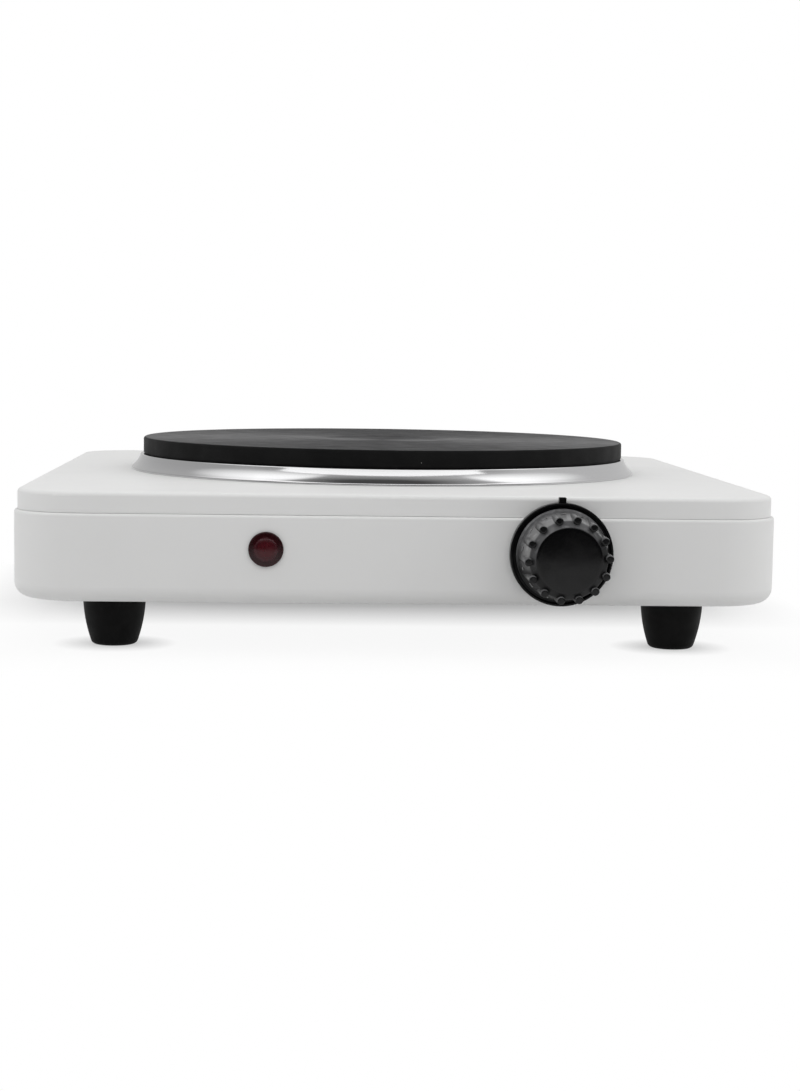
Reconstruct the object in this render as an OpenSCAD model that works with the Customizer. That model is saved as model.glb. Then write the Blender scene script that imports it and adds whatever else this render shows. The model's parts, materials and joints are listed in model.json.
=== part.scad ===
// Single electric hot plate: a pressed steel body on four feet, a cast-iron plate
// held down by a bridge under the cover, and an adjustable thermostat behind the dial.
// Origin: on the table, midway between the knob's face and the cord gland's nose.
// +Z is up, and the dial looks along -Y.

/* [Body] */
// Width of the lower pan
body_w = 254; // [246:1:290]
// Depth of the lower pan
body_d = 264; // [256:1:300]
// Radius of the body's four upright corners
corner_r = 22; // [16:1:28]
// Thickness of the pressed steel
sheet_t = 0.8; // [0.6:0.1:1]
// Height of the pan, from its underside to the seam
pan_h = 29; // [28:0.5:36]
// Radius of the pan's lower edge
pan_edge_r = 5; // [4:0.5:9]
// Radius of the pan's shoulder at the seam
shoulder_r = 1; // [0.8:0.1:1.4]
// Height of the top cover above the seam
cover_h = 7; // [6.5:0.5:10]
// Radius of the cover's upper edge
cover_edge_r = 1.5; // [1:0.1:5]
// How far the cover's skirt stands inside the pan's outer face
cover_inset = 1.1; // [0.4:0.1:1.2]
// Open seam between the cover's skirt and the pan's shoulder
seam_gap = 0.1; // [0.1:0.1:0.5]

/* [Feet] */
// Height of a foot
foot_h = 17; // [14:0.5:22]
// Diameter of a foot at the pan
foot_top_d = 21; // [18:0.5:24]
// Diameter of a foot at the table
foot_bottom_d = 14.8; // [13:0.2:17]
// Distance from the pan's side to a foot's centre
foot_inset_x = 32.5; // [27:0.5:36]
// Distance from the pan's front or back to a foot's centre
foot_inset_y = 28; // [24:0.5:32]
// Radius of the long screws through the feet
foot_screw_r = 1.95; // [1.5:0.05:2.1]
// Radius of the posts that join the cover to the pan
post_r = 4; // [3.2:0.1:5]

/* [Cooking plate] */
// Diameter of the cast-iron plate
plate_d = 185; // [179:1:188]
// Height of the plate's rim
rim_h = 6.4; // [5.5:0.1:8]
// How far the plate's body reaches below its rim
plate_body_h = 9.8; // [9:0.1:11]
// Distance of the plate's axis behind the middle of the pan
plate_shift = 7; // [0:0.5:10]
// Radius of the plate's shallow middle recess
recess_r = 24; // [15:1:40]
// Depth of that recess
recess_depth = 0.6; // [0.2:0.1:1.2]
// Height of the trim ring between the cover and the plate's rim
ring_h = 5.8; // [5:0.1:8]
// How far the trim ring's toe stands outside the plate
ring_flare = 4.6; // [2:0.1:6]
// Thickness of the trim ring's steel
ring_t = 0.6; // [0.4:0.1:0.8]
// Radius of the middle stud
stud_r = 3; // [2.5:0.1:3.5]

/* [Dial] */
// Distance of the dial's axis to the right of the middle
dial_x = 52.5; // [50:0.5:60]
// Height of the dial's axis above the pan's underside
dial_h = 17.4; // [16.5:0.1:18]
// Radius of the fixed ring behind the knob
bezel_r = 16.9; // [16.8:0.1:18]
// How far the knob's face stands in front of the pan
knob_reach = 22; // [19:0.5:26]
// Radius of the knob's skirt
skirt_r = 15.1; // [15:0.1:15.7]
// Radius of the knob's cone at its front end
grip_r = 12.6; // [12.2:0.1:13]
// Radius of the knob's face, inside its bevelled edge
face_r = 10.5; // [9.8:0.1:11.4]
// Number of ribs round the grip
rib_count = 14; // [8:1:18]
// Radius of the thermostat's spindle
spindle_r = 3; // [2.5:0.1:3.2]

/* [Lamp and cord entry] */
// Distance of the lamp's axis to the left of the middle
lamp_x = 43.5; // [36:0.5:60]
// Height of the lamp's axis above the pan's underside
lamp_h = 18; // [15:0.5:20]
// Radius of the lamp's flange
lamp_flange_r = 5.7; // [5:0.1:7]
// Radius of the lamp's dome
lamp_dome_r = 3.8; // [2.8:0.1:4]
// Distance of the cord gland's axis to the right of the middle
gland_x = 70; // [66:0.5:76]
// Height of the cord gland's axis above the pan's underside
gland_h = 14; // [13:0.5:17]
// Radius of the gland's bore
cord_r = 3.6; // [3:0.1:4]
// How far the gland's nose stands behind the pan
gland_reach = 6; // [4:0.5:9]

/* [Hidden] */
$fn = 64;
eps = 0.01;
seat_gap = 0.3;
run_gap = 0.05;
cast_gap = 0.1;

// Levels, from the table up
pan_z = foot_h;
floor_z = pan_z + sheet_t;
seam_z = pan_z + pan_h;
top_z = seam_z + cover_h;
under_cover_z = top_z - sheet_t;
rim_z = top_z + ring_h;
plate_top_z = rim_z + rim_h;
hub_z = rim_z - plate_body_h;

// Depth positions
front_y = knob_reach - (knob_reach + body_d + gland_reach) / 2;
rear_y = front_y + body_d;
body_y = (front_y + rear_y) / 2;
plate_y = body_y + plate_shift;
foot_x = body_w / 2 - foot_inset_x;
foot_ys = [front_y + foot_inset_y, rear_y - foot_inset_y];

// Seam between the cover and the pan
shoulder_w = cover_inset + sheet_t + seat_gap;
lip_h = cover_h - cover_edge_r;

// Feet and their screws
foot_pocket_r = 4.2;
foot_pocket_h = 8;
foot_edge_r = 1.2;
screw_head_r = 3.5;
screw_head_h = 2.6;
screw_slot_w = 1;
washer_t = 0.8;
post_thread_h = 10;

// Plate, its grooves and its coils
plate_r = plate_d / 2;
rim_edge_r = 0.9;
plate_top_t = 5.2;
rim_overhang = 9.5;
body_r = plate_r - rim_overhang;
outer_wall_t = 5;
hub_r = 22;
rib_rs = [48, 52];
groove_rs = [[hub_r, rib_rs[0]], [rib_rs[1], body_r - outer_wall_t]];
groove_z = plate_top_z - plate_top_t;
coil_r = 2.7;
coil_z = groove_z - coil_r - seat_gap;
coil_rs = [for (g = groove_rs) (g[0] + g[1]) / 2];
pin_r = 1.5;
pin_dx = 9;
pin_z = 36;
pin_ys = [for (r = coil_rs) plate_y - sqrt(r * r - pin_dx * pin_dx)];
bead_r = 3.5;
bead_h = 4;
bead_neck_r = 2.3;
bead_neck_h = 1.5;
link_t = 0.8;
link_w = 6;
link_lift = 5.5;
recess_slope = 4;

// Trim ring
ring_margin = 1.3;
ring_top_r = plate_r + ring_margin;
ring_toe_r = plate_r + ring_flare;
ring_bore_gap = 1;
ring_bore_r = body_r + ring_bore_gap;
flare_r = 9.5;
toe_roll_r = 0.8;
toe_flat = 0.1;
cover_hole_gap = 3;
cover_hole_r = body_r + cover_hole_gap;
cover_lip_h = 2.4;

// Pieces on the stud, from the plate's hub down
back_cover_t = 0.8;
back_cover_inset = 3;
back_cover_r = body_r - back_cover_inset;
nut_af = 10;
nut_h = 5;
bridge_t = 1.5;
bridge_w = 20;
bridge_washer_t = 1.2;
bridge_washer_r = 6.5;
ear_l = 9;
leg_gap = 1.7;
leg_x = cover_hole_r + sheet_t + leg_gap;
shield_t = 0.5;
shield_r = 74;
shield_notch_w = 44;
shield_notch_r = 24;
back_cover_z = hub_z - back_cover_t;
upper_nut_z = back_cover_z - nut_h;
bridge_z = upper_nut_z - seat_gap - bridge_t;
bridge_washer_z = bridge_z - bridge_washer_t;
bridge_nut_z = bridge_washer_z - nut_h;
shield_z = bridge_nut_z - shield_t;
lower_nut_z = shield_z - nut_h;
stud_tail = 1;
stud_grip = 8.5;
stud_end_z = lower_nut_z - stud_tail;
stud_top_z = hub_z + stud_grip;

// Dial: z here is the distance in front of the pan's front face
dial_z = pan_z + dial_h;
bezel_t = 1.8;
bezel_rim_w = 1;
bezel_rim_t = 3.2;
tab_w = 2.4;
tab_reach = 1.7;
knob_gap = 0.6;
knob_back = bezel_t + knob_gap;
skirt_front = 4.2;
skirt_edge = 0.5;
bevel_l = 2.2;
rib_r = 1.35;
rib_out = 0.35;
rib_ring_r = grip_r + rib_out;
rib_turn = 2.5;
rib_end = 0.6;
rib_root = 5;
rib_setback = 0.4;
rib_l = knob_reach - rib_setback - rib_end - rib_root;
knob_hub_r = 6.2;
knob_wall = 2;
knob_hollow = 7;
spindle_front = 16;
flat_depth = 1;
flat_l = 12;
clip_t = 0.6;
clip_w = 2.4;
spindle_hole_r = spindle_r + 0.6;
dial_screw_r = 1.75;
dial_screw_dx = 9.5;
dial_screw_head_r = 3;
dial_screw_head_h = 1;
dial_screw_tail = 1.5;

// Thermostat: depths behind the front face
bracket_t = 1.2;
bracket_y = sheet_t + bracket_t;
bracket_h = 18;
bracket_edge = 2;
bush_r = spindle_r + 1.5;
bush_end = 10;
collar_r = bush_r - 0.1;
collar_t = 1.5;
nose_r = 1.6;
nose_end = 13;
stack_dx = 20;
rivet_r = 1.5;
rivet_head_t = 1;
sleeve_r = 2.5;
ring_r = 5;
pusher_r = 1.2;
pusher_y = nose_end + 0.5;
pusher_l = 4.5;
blade_t = 0.5;
blade_w = 6;
blade_reach = 31;
blade_play = 0.35;
leaf_root = 1;
leaf_gap = 0.15;
bimetal_t = 0.8;
bimetal_w = 8;
bimetal_reach = 32;
contact_r = 2;
contact_dx = 29;
contact_gap = 0.95;
set_contact_h = 1.8;
snap_contact_h = 1.2;
stud_dx = 22;
stud_l = 3.7;
set_blade_y = pusher_y + pusher_l + seat_gap;
snap_blade_y = set_blade_y + blade_t + set_contact_h + contact_gap + snap_contact_h;
bimetal_y = snap_blade_y + blade_t + stud_l;
tag_t = 0.8;
tag_w = 6.3;
tag_l = 18;
tag_grip = 6;
thin_ring_t = 0.75;
end_ring_t = 2;
set_tag_y = set_blade_y - blade_play - thin_ring_t - tag_t;
snap_tag_y = snap_blade_y + blade_t + blade_play;
stack_end = bimetal_y + bimetal_t + blade_play + end_ring_t;

// Lamp: depths behind the front face
lamp_z = pan_z + lamp_h;
lamp_flange_t = 1;
lamp_edge_r = 0.5;
lamp_dome_h = 1.3;
lamp_neck_r = 4;
lamp_neck_l = 10;
lamp_neck_wall = 0.8;
lamp_clip_r = 7;
lamp_clip_t = 0.5;
lamp_housing_l = 12;
lamp_spigot_l = 4;
housing_floor = 2;
bulb_r = 2;
bulb_l = 9;
resistor_r = 1.3;
resistor_l = 7;

// Cord gland and wiring
gland_z = pan_z + gland_h;
gland_neck_r = 5.9;
gland_flange_r = 8.5;
gland_flange_t = 2.5;
gland_nose_r = 6.4;
gland_barb_r = 7.2;
gland_barb_t = 2;
block_w = 36;
block_d = 16;
block_h = 13;
block_x = 45;
block_inset = 40;
block_y = rear_y - block_inset;
way_dx = 12;
way_r = 2;
way_z = 5;
way_screw_dy = 4;
way_screw_r = 1.5;
way_screw_sink = 2.2;
block_screw_r = 1.45;
block_screw_l = 7;
block_screw_head_h = 1.8;
earth_x = 5;
earth_y = block_y - 2;
earth_tag_r = 4;
earth_screw_tail = 4;
earth_barrel_r = 1.8;
earth_barrel_end = 8;
lead_r = 1.4;
lamp_lead_r = 0.8;
lamp_lead_dx = 1.8;
lamp_lead_turn = [2, 14, -4];
lamp_lead_step = 3;
lamp_lead_sweep = [9, 5, 5];
earth_lead_sweep = 9;
earth_lead_lift = 2;
neutral_lead_sweep = 12;
neutral_lead_dy = 30;
wire_sides = 8;
bend_reach = 2.4;
bend_steps = 4;
lead_grip = 5;
lead_lift = 4.5;
lead_z = floor_z + lead_lift;
crimp_r = 2.6;
crimp_h = 6;
crimp_grip = 3.5;
socket_l = 10;
socket_w = 7.8;
socket_t = 2.8;

// Underside vents
vent_w = 3;
vent_l = 40;
vent_pitch = 9;
vent_x = 36;
vent_count = 5;

enamel = [0.93, 0.93, 0.92];
iron = [0.16, 0.16, 0.17];
steel = [0.78, 0.79, 0.8];
zinc = [0.7, 0.71, 0.72];
brass = [0.8, 0.66, 0.36];
black = [0.05, 0.05, 0.055];
rubber = [0.07, 0.07, 0.07];
ceramic = [0.92, 0.9, 0.84];
red = [0.5, 0.03, 0.05];

// ---------- Helpers ----------

// Sweeps a wall section round a rounded rectangle; the section's outer face is at x = r
module round_wall(w, d, r) {
  for (i = [0 : 3]) {
    along_x = i % 2 == 1;
    half_x = (along_x ? d : w) / 2 - r;
    half_y = (along_x ? w : d) / 2 - r;
    rotate([0, 0, 90 * i]) {
      translate([half_x, half_y, 0]) rotate_extrude(angle = 90) children();
      translate([half_x, half_y, 0]) rotate([90, 0, 0]) linear_extrude(2 * half_y) children();
    }
  }
}

// Puts its children at the four feet
module at_feet() {
  for (x = [-foot_x, foot_x], y = foot_ys) translate([x, y, 0]) children();
}

// Local frame of the dial: z runs out of the front face
module at_dial() {
  translate([dial_x, front_y, dial_z]) rotate([90, 0, 0]) children();
}

// Local frame of the thermostat's stack, z still runs out of the front face
module at_stack() {
  at_dial() translate([-stack_dx, 0, 0]) children();
}

// Local frame of the lamp: z runs out of the front face
module at_lamp() {
  translate([-lamp_x, front_y, lamp_z]) rotate([90, 0, 0]) children();
}

// A tube of the given height between two radii
module tube(outer, inner, h) {
  difference() {
    cylinder(r = outer, h = h);
    translate([0, 0, -eps]) cylinder(r = inner, h = h + 2 * eps);
  }
}

// A hexagon nut with a clear bore
module hex_nut(af, h, bore) {
  difference() {
    cylinder(r = af / sqrt(3), h = h, $fn = 6);
    translate([0, 0, -eps]) cylinder(r = bore, h = h + 2 * eps);
  }
}

// A pan-head screw: the head stands on z = 0 and the shank goes down
module slotted_screw(head_r, head_h, shank_r, shank_l) {
  difference() {
    union() {
      cylinder(r = head_r, h = head_h);
      translate([0, 0, -shank_l]) cylinder(r = shank_r, h = shank_l + eps);
    }
    translate([-head_r - 1, -screw_slot_w / 2, head_h * 0.55])
      cube([2 * head_r + 2, screw_slot_w, head_h]);
  }
}

// A vector of length one along v
function unit(v) = v / norm(v);

// A rounded bend at corner b of a wire that comes from a and goes on to c
function bend(a, b, c) = let (back = unit(a - b) * bend_reach, on = unit(c - b) * bend_reach)
  [for (k = [0 : bend_steps]) let (t = k / bend_steps) b + (1 - t) * (1 - t) * back + t * t * on];

// A wire's corner points with every bend rounded
function bent(points) = [points[0],
  for (i = [1 : len(points) - 2]) each bend(points[i - 1], points[i], points[i + 1]),
  points[len(points) - 1]];

// Direction of travel at each point of a path
function travel(path) = let (last = len(path) - 1)
  [for (i = [0 : last]) unit(path[min(i + 1, last)] - path[max(i - 1, 0)])];

// Side direction at each point, carried along the path so that the wire isn't twisted
function sides(ways, side, i = 0) = i == len(ways) ? [] :
  let (next = unit(side - (side * ways[i]) * ways[i])) [next, each sides(ways, next, i + 1)];

// A wire along a list of corner points
module wire(points, r) {
  path = bent(points);
  last = len(path) - 1;
  ways = travel(path);
  across = sides(ways, [0.3, 0.2, 1]);
  rim = [for (i = [0 : last], k = [0 : wire_sides - 1]) let (a = 360 * k / wire_sides)
    path[i] + r * (cos(a) * across[i] + sin(a) * cross(ways[i], across[i]))];
  walls = [for (i = [0 : last - 1], k = [0 : wire_sides - 1])
    let (j = i * wire_sides, n = (k + 1) % wire_sides)
    [j + k, j + wire_sides + k, j + wire_sides + n, j + n]];
  start_cap = [for (k = [0 : wire_sides - 1]) k];
  end_cap = [for (k = [wire_sides - 1 : -1 : 0]) last * wire_sides + k];
  polyhedron(rim, concat([start_cap], walls, [end_cap]));
}

// A crimped sleeve on the lower end of a plate terminal
module crimp(x, y) {
  translate([x, y, pin_z + crimp_grip - crimp_h]) difference() {
    cylinder(r = crimp_r, h = crimp_h);
    translate([0, 0, crimp_h - crimp_grip]) cylinder(r = pin_r + run_gap, h = crimp_grip + eps);
  }
}

// A push-on socket on the end of a thermostat tag, whose back is at depth y
module tag_socket(y) {
  at_stack() translate([tag_grip - tag_l - socket_l, -socket_w / 2, -y - (tag_t + socket_t) / 2])
    difference() {
      cube([socket_l, socket_w, socket_t]);
      translate([socket_l - tag_grip - seat_gap, (socket_w - tag_w) / 2 - cast_gap,
                 (socket_t - tag_t) / 2 - cast_gap])
        cube([tag_grip + 1, tag_w + 2 * cast_gap, tag_t + 2 * cast_gap]);
    }
}

// Where a lead meets the socket at depth y
function socket_end(y) =
  [dial_x - stack_dx - tag_l + tag_grip - socket_l, front_y + y + tag_t / 2, dial_z];

// ---------- Body ----------

// Section of the pan, drawn in by off
module pan_section(off) {
  lower_r = pan_edge_r - off;
  translate([0, pan_z + pan_edge_r])
    square([corner_r - off, pan_h - pan_edge_r - shoulder_r]);
  translate([0, pan_z + off]) square([corner_r - pan_edge_r, lower_r + eps]);
  intersection() {
    translate([corner_r - pan_edge_r, pan_z + pan_edge_r]) circle(lower_r);
    translate([corner_r - pan_edge_r - eps, pan_z]) square(pan_edge_r + eps);
  }
}

module pan_wall() {
  shoulder_x = corner_r - shoulder_r;
  shoulder_z = seam_z - shoulder_r;
  difference() {
    union() {
      pan_section(0);
      translate([0, shoulder_z - eps]) square([shoulder_x, shoulder_r + eps]);
      intersection() {
        translate([shoulder_x, shoulder_z]) circle(shoulder_r);
        translate([shoulder_x - eps, shoulder_z]) square(shoulder_r + eps);
      }
      translate([0, seam_z - eps]) square([corner_r - shoulder_w, lip_h + eps]);
    }
    pan_section(sheet_t);
    translate([-eps, shoulder_z - 2 * eps])
      square([corner_r - shoulder_w - sheet_t + eps, lip_h + shoulder_r + 1]);
  }
}

module base_pan() color(enamel) difference() {
  translate([0, body_y, 0]) union() {
    round_wall(body_w, body_d, corner_r) pan_wall();
    translate([corner_r - body_w / 2, corner_r - body_d / 2, pan_z])
      cube([body_w - 2 * corner_r, body_d - 2 * corner_r, sheet_t]);
  }
  at_feet() translate([0, 0, pan_z - 1]) cylinder(r = foot_screw_r + seat_gap, h = 4);
  at_dial() translate([0, 0, -4]) {
    cylinder(r = spindle_hole_r, h = 8);
    for (x = [-dial_screw_dx, dial_screw_dx])
      translate([x, 0, 0]) cylinder(r = dial_screw_r + seat_gap, h = 8);
  }
  at_lamp() translate([0, 0, -4]) cylinder(r = lamp_neck_r + cast_gap, h = 8);
  translate([gland_x, rear_y - 4, gland_z]) rotate([-90, 0, 0])
    cylinder(r = gland_neck_r + cast_gap, h = 8);
  translate([block_x + way_dx / 2, block_y, pan_z - 1])
    cylinder(r = block_screw_r + run_gap, h = 4);
  translate([earth_x, earth_y, pan_z - 1]) cylinder(r = foot_screw_r + run_gap, h = 4);
  for (side = [-1, 1], i = [0 : vent_count - 1])
    translate([side * (vent_x + i * vent_pitch), body_y, pan_z - 1]) {
      translate([-vent_w / 2, -(vent_l - vent_w) / 2, 0]) cube([vent_w, vent_l - vent_w, 4]);
      for (y = [-1, 1]) translate([0, y * (vent_l - vent_w) / 2, 0]) cylinder(d = vent_w, h = 4);
    }
}

// Section of the cover, drawn in by off
module cover_section(off) {
  r = corner_r - cover_inset;
  skirt_z = seam_z + seam_gap;
  translate([0, skirt_z - (off > 0 ? 1 : 0)])
    square([r - off, top_z - cover_edge_r - skirt_z + (off > 0 ? 1 : 0)]);
  translate([0, top_z - cover_edge_r - eps])
    square([r - cover_edge_r, cover_edge_r - off + eps]);
  intersection() {
    translate([r - cover_edge_r, top_z - cover_edge_r]) circle(cover_edge_r - off);
    translate([r - cover_edge_r - eps, top_z - cover_edge_r - eps]) square(cover_edge_r + eps);
  }
}

module top_cover() color(enamel) {
  w = body_w - 2 * cover_inset;
  d = body_d - 2 * cover_inset;
  r = corner_r - cover_inset;
  difference() {
    union() {
      translate([0, body_y, 0]) {
        round_wall(w, d, r) difference() {
          cover_section(0);
          cover_section(sheet_t);
        }
        translate([r - w / 2, r - d / 2, under_cover_z])
          cube([w - 2 * r, d - 2 * r, sheet_t]);
      }
      translate([0, plate_y, under_cover_z - cover_lip_h])
        cylinder(r = cover_hole_r + sheet_t, h = cover_lip_h + eps);
    }
    translate([0, plate_y, under_cover_z - cover_lip_h - 1])
      cylinder(r = cover_hole_r, h = cover_lip_h + sheet_t + 2);
  }
}

module cover_posts() color(zinc) at_feet() translate([0, 0, floor_z]) difference() {
  cylinder(r = post_r, h = under_cover_z - floor_z);
  translate([0, 0, -eps]) cylinder(r = foot_screw_r + run_gap, h = post_thread_h + 1);
}

// One tapered foot with its screw pocket
module foot() color(rubber) {
  top_r = foot_top_d / 2;
  drop = (foot_top_d - foot_bottom_d) / 2;
  side_r = (foot_h * foot_h / drop + drop) / 2;
  difference() {
    rotate_extrude() difference() {
      intersection() {
        square([top_r, foot_h]);
        translate([top_r - side_r, foot_h]) circle(r = side_r, $fn = 256);
      }
      difference() {
        translate([foot_bottom_d / 2 - foot_edge_r, -eps]) square(foot_edge_r + 1);
        translate([foot_bottom_d / 2 - foot_edge_r + cast_gap, foot_edge_r])
          circle(foot_edge_r + cast_gap);
        translate([foot_bottom_d / 2 - foot_edge_r - 1, foot_edge_r]) square(foot_edge_r + 3);
      }
    }
    translate([0, 0, -1]) cylinder(r = foot_pocket_r, h = foot_pocket_h + 1);
    cylinder(r = foot_screw_r + seat_gap, h = foot_h + 1);
  }
}

module foot_front_left() translate([-foot_x, foot_ys[0], 0]) foot();
module foot_front_right() translate([foot_x, foot_ys[0], 0]) foot();
module foot_rear_left() translate([-foot_x, foot_ys[1], 0]) foot();
module foot_rear_right() translate([foot_x, foot_ys[1], 0]) foot();

module foot_screws() color(zinc) at_feet()
  translate([0, 0, foot_pocket_h - washer_t]) mirror([0, 0, 1])
    slotted_screw(screw_head_r, screw_head_h, foot_screw_r,
                  floor_z + post_thread_h - foot_pocket_h + washer_t);

module foot_washers() color(zinc) at_feet() translate([0, 0, foot_pocket_h - washer_t])
  tube(foot_pocket_r - cast_gap, foot_screw_r + cast_gap, washer_t);

// ---------- Cooking plate ----------

// Turns its children about the plate's axis
module on_plate() translate([0, plate_y, 0]) rotate_extrude() children();

// The point ra from a and rb from b, on the right of the way from a to b
function between(a, ra, b, rb) =
  let(d = norm(b - a), u = (b - a) / d, along = (ra * ra - rb * rb + d * d) / (2 * d))
  a + along * u + sqrt(ra * ra - along * along) * [u[1], -u[0]];

// A sheet ring: a shelf under the plate's rim, a rounded shoulder, a hollow side and a rolled toe
module trim_ring() color(steel) on_plate() {
  shoulder = [ring_top_r - ring_t, rim_z - ring_t];
  roll = [ring_toe_r - toe_roll_r, top_z + toe_roll_r - toe_flat];
  centre = between(roll, flare_r + toe_roll_r, shoulder, flare_r + ring_t);
  intersection() {
    translate(centre) difference() {
      circle(r = flare_r + ring_t, $fn = 256);
      circle(r = flare_r, $fn = 256);
    }
    polygon([centre, centre + 1.5 * (shoulder - centre), centre + 1.5 * (roll - centre)]);
  }
  translate([ring_bore_r, rim_z - ring_t]) square([shoulder[0] - ring_bore_r, ring_t]);
  translate(shoulder) circle(ring_t);
  intersection() {
    translate(roll) circle(toe_roll_r);
    translate([ring_bore_r, top_z]) square([ring_toe_r, ring_h]);
  }
}

module hot_plate() color(iron) difference() {
  on_plate() difference() {
    union() {
      translate([0, hub_z]) square([body_r, plate_body_h + 1]);
      translate([0, rim_z]) square([plate_r - rim_edge_r, rim_h]);
      translate([0, rim_z + rim_edge_r]) square([plate_r, rim_h - 2 * rim_edge_r]);
      for (z = [rim_z + rim_edge_r, plate_top_z - rim_edge_r])
        translate([plate_r - rim_edge_r, z]) circle(rim_edge_r);
    }
    for (g = groove_rs) translate([g[0], hub_z - 1]) square([g[1] - g[0], groove_z - hub_z + 1]);
    translate([0, plate_top_z]) polygon([[-1, 1], [-1, -recess_depth],
      [recess_r - recess_slope, -recess_depth], [recess_r, 0], [recess_r, 1]]);
  }
  translate([0, plate_y, hub_z - 1])
    cylinder(r = stud_r + run_gap, h = stud_top_z - hub_z + 1 + cast_gap);
}

module centre_stud() color(zinc) translate([0, plate_y, stud_end_z])
  cylinder(r = stud_r, h = stud_top_z - stud_end_z);

// An open ring of coil in groove i, its two ends over that groove's terminals
module coil(i) color(zinc) {
  r = coil_rs[i];
  gap = asin(pin_dx / r) - asin(pin_r / r);
  translate([0, plate_y, coil_z]) rotate([0, 0, gap - 90])
    rotate_extrude(angle = 360 - 2 * gap) translate([r, 0]) circle(coil_r);
}

module heating_coil_inner() coil(0);
module heating_coil_outer() coil(1);

// The pressed filling of groove i, with a channel for the coil
module filling(i) color(ceramic) {
  g = groove_rs[i];
  channel = coil_r + seat_gap;
  difference() {
    on_plate() difference() {
      translate([g[0] + cast_gap, hub_z])
        square([g[1] - g[0] - 2 * cast_gap, groove_z - hub_z - cast_gap]);
      translate([coil_rs[i] - channel, coil_z - channel]) square([2 * channel, 3 * channel]);
    }
    for (x = [-pin_dx, pin_dx]) translate([x, pin_ys[i], hub_z - 1]) {
      cylinder(r = pin_r + cast_gap, h = coil_z - hub_z + 1);
      cylinder(r = bead_neck_r + cast_gap, h = bead_neck_h + 1 + cast_gap);
    }
  }
}

module magnesia_filling_inner() filling(0);
module magnesia_filling_outer() filling(1);

// Puts its children at each plate terminal
module at_pins() {
  for (x = [-pin_dx, pin_dx], y = pin_ys) translate([x, y, 0]) children();
}

module plate_back_cover() color(zinc) difference() {
  translate([0, plate_y, back_cover_z]) tube(back_cover_r, stud_r + cast_gap, back_cover_t);
  at_pins() translate([0, 0, back_cover_z - 1]) cylinder(r = bead_neck_r + cast_gap, h = 3);
}

module plate_terminal_pins() color(zinc) at_pins() translate([0, 0, pin_z])
  cylinder(r = pin_r, h = coil_z - coil_r - seat_gap - pin_z);

module ceramic_beads() color(ceramic) at_pins() difference() {
  union() {
    translate([0, 0, back_cover_z - bead_h]) cylinder(r = bead_r, h = bead_h);
    translate([0, 0, back_cover_z - eps])
      cylinder(r = bead_neck_r, h = back_cover_t + bead_neck_h + eps);
  }
  translate([0, 0, back_cover_z - bead_h - 1])
    cylinder(r = pin_r + run_gap, h = bead_h + back_cover_t + bead_neck_h + 2);
}

// Strap that puts the two coils in series, on the right-hand terminals
module coil_link() color(brass) difference() {
  translate([pin_dx - link_w / 2, pin_ys[1] - link_w / 2, pin_z + link_lift])
    cube([link_w, pin_ys[0] - pin_ys[1] + link_w, link_t]);
  for (y = pin_ys) translate([pin_dx, y, pin_z]) cylinder(r = pin_r + run_gap, h = 2 * link_lift);
}

module back_cover_nut() color(zinc) translate([0, plate_y, upper_nut_z])
  hex_nut(nut_af, nut_h, stud_r + run_gap);

module clamp_bridge() color(zinc) translate([0, plate_y, 0]) difference() {
  union() {
    translate([-leg_x - bridge_t, -bridge_w / 2, bridge_z])
      cube([2 * (leg_x + bridge_t), bridge_w, bridge_t]);
    for (side = [-1, 1]) {
      translate([side * (leg_x + bridge_t / 2) - bridge_t / 2, -bridge_w / 2, bridge_z])
        cube([bridge_t, bridge_w, under_cover_z - bridge_z]);
      translate([side * (leg_x + ear_l / 2) - ear_l / 2, -bridge_w / 2, under_cover_z - bridge_t])
        cube([ear_l, bridge_w, bridge_t]);
    }
  }
  translate([0, 0, bridge_z - 1]) cylinder(r = stud_r + seat_gap, h = bridge_t + 2);
}

module bridge_washer() color(zinc) translate([0, plate_y, bridge_washer_z])
  tube(bridge_washer_r, stud_r + cast_gap, bridge_washer_t);

module bridge_nut() color(zinc) translate([0, plate_y, bridge_nut_z])
  hex_nut(nut_af, nut_h, stud_r + run_gap);

module heat_shield() color(steel) translate([0, plate_y, shield_z]) difference() {
  tube(shield_r, stud_r + cast_gap, shield_t);
  translate([-shield_notch_w / 2, -shield_r - 1, -1])
    cube([shield_notch_w, shield_r + 1 - shield_notch_r, shield_t + 2]);
}

module heat_shield_nut() color(zinc) translate([0, plate_y, lower_nut_z])
  hex_nut(nut_af, nut_h, stud_r + run_gap);

// ---------- Dial and knob ----------

module dial_bezel() color(black) at_dial() difference() {
  union() {
    cylinder(r = bezel_r, h = bezel_t);
    tube(bezel_r, bezel_r - bezel_rim_w, bezel_rim_t);
    translate([-tab_w / 2, bezel_r - bezel_rim_w / 2, 0])
      cube([tab_w, tab_reach + bezel_rim_w / 2, bezel_t]);
  }
  translate([0, 0, -1]) cylinder(r = spindle_hole_r, h = bezel_t + 2);
  for (x = [-dial_screw_dx, dial_screw_dx]) translate([x, 0, -1]) {
    cylinder(r = dial_screw_r + seat_gap, h = bezel_t + 2);
    translate([0, 0, 1 + bezel_t - dial_screw_head_h])
      cylinder(r = dial_screw_head_r + cast_gap, h = dial_screw_head_h + 1);
  }
}

module dial_screws() color(zinc) at_dial() for (x = [-dial_screw_dx, dial_screw_dx])
  translate([x, 0, bezel_t - dial_screw_head_h])
    slotted_screw(dial_screw_head_r, dial_screw_head_h, dial_screw_r,
                  bezel_t - dial_screw_head_h + bracket_y + dial_screw_tail);

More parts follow.
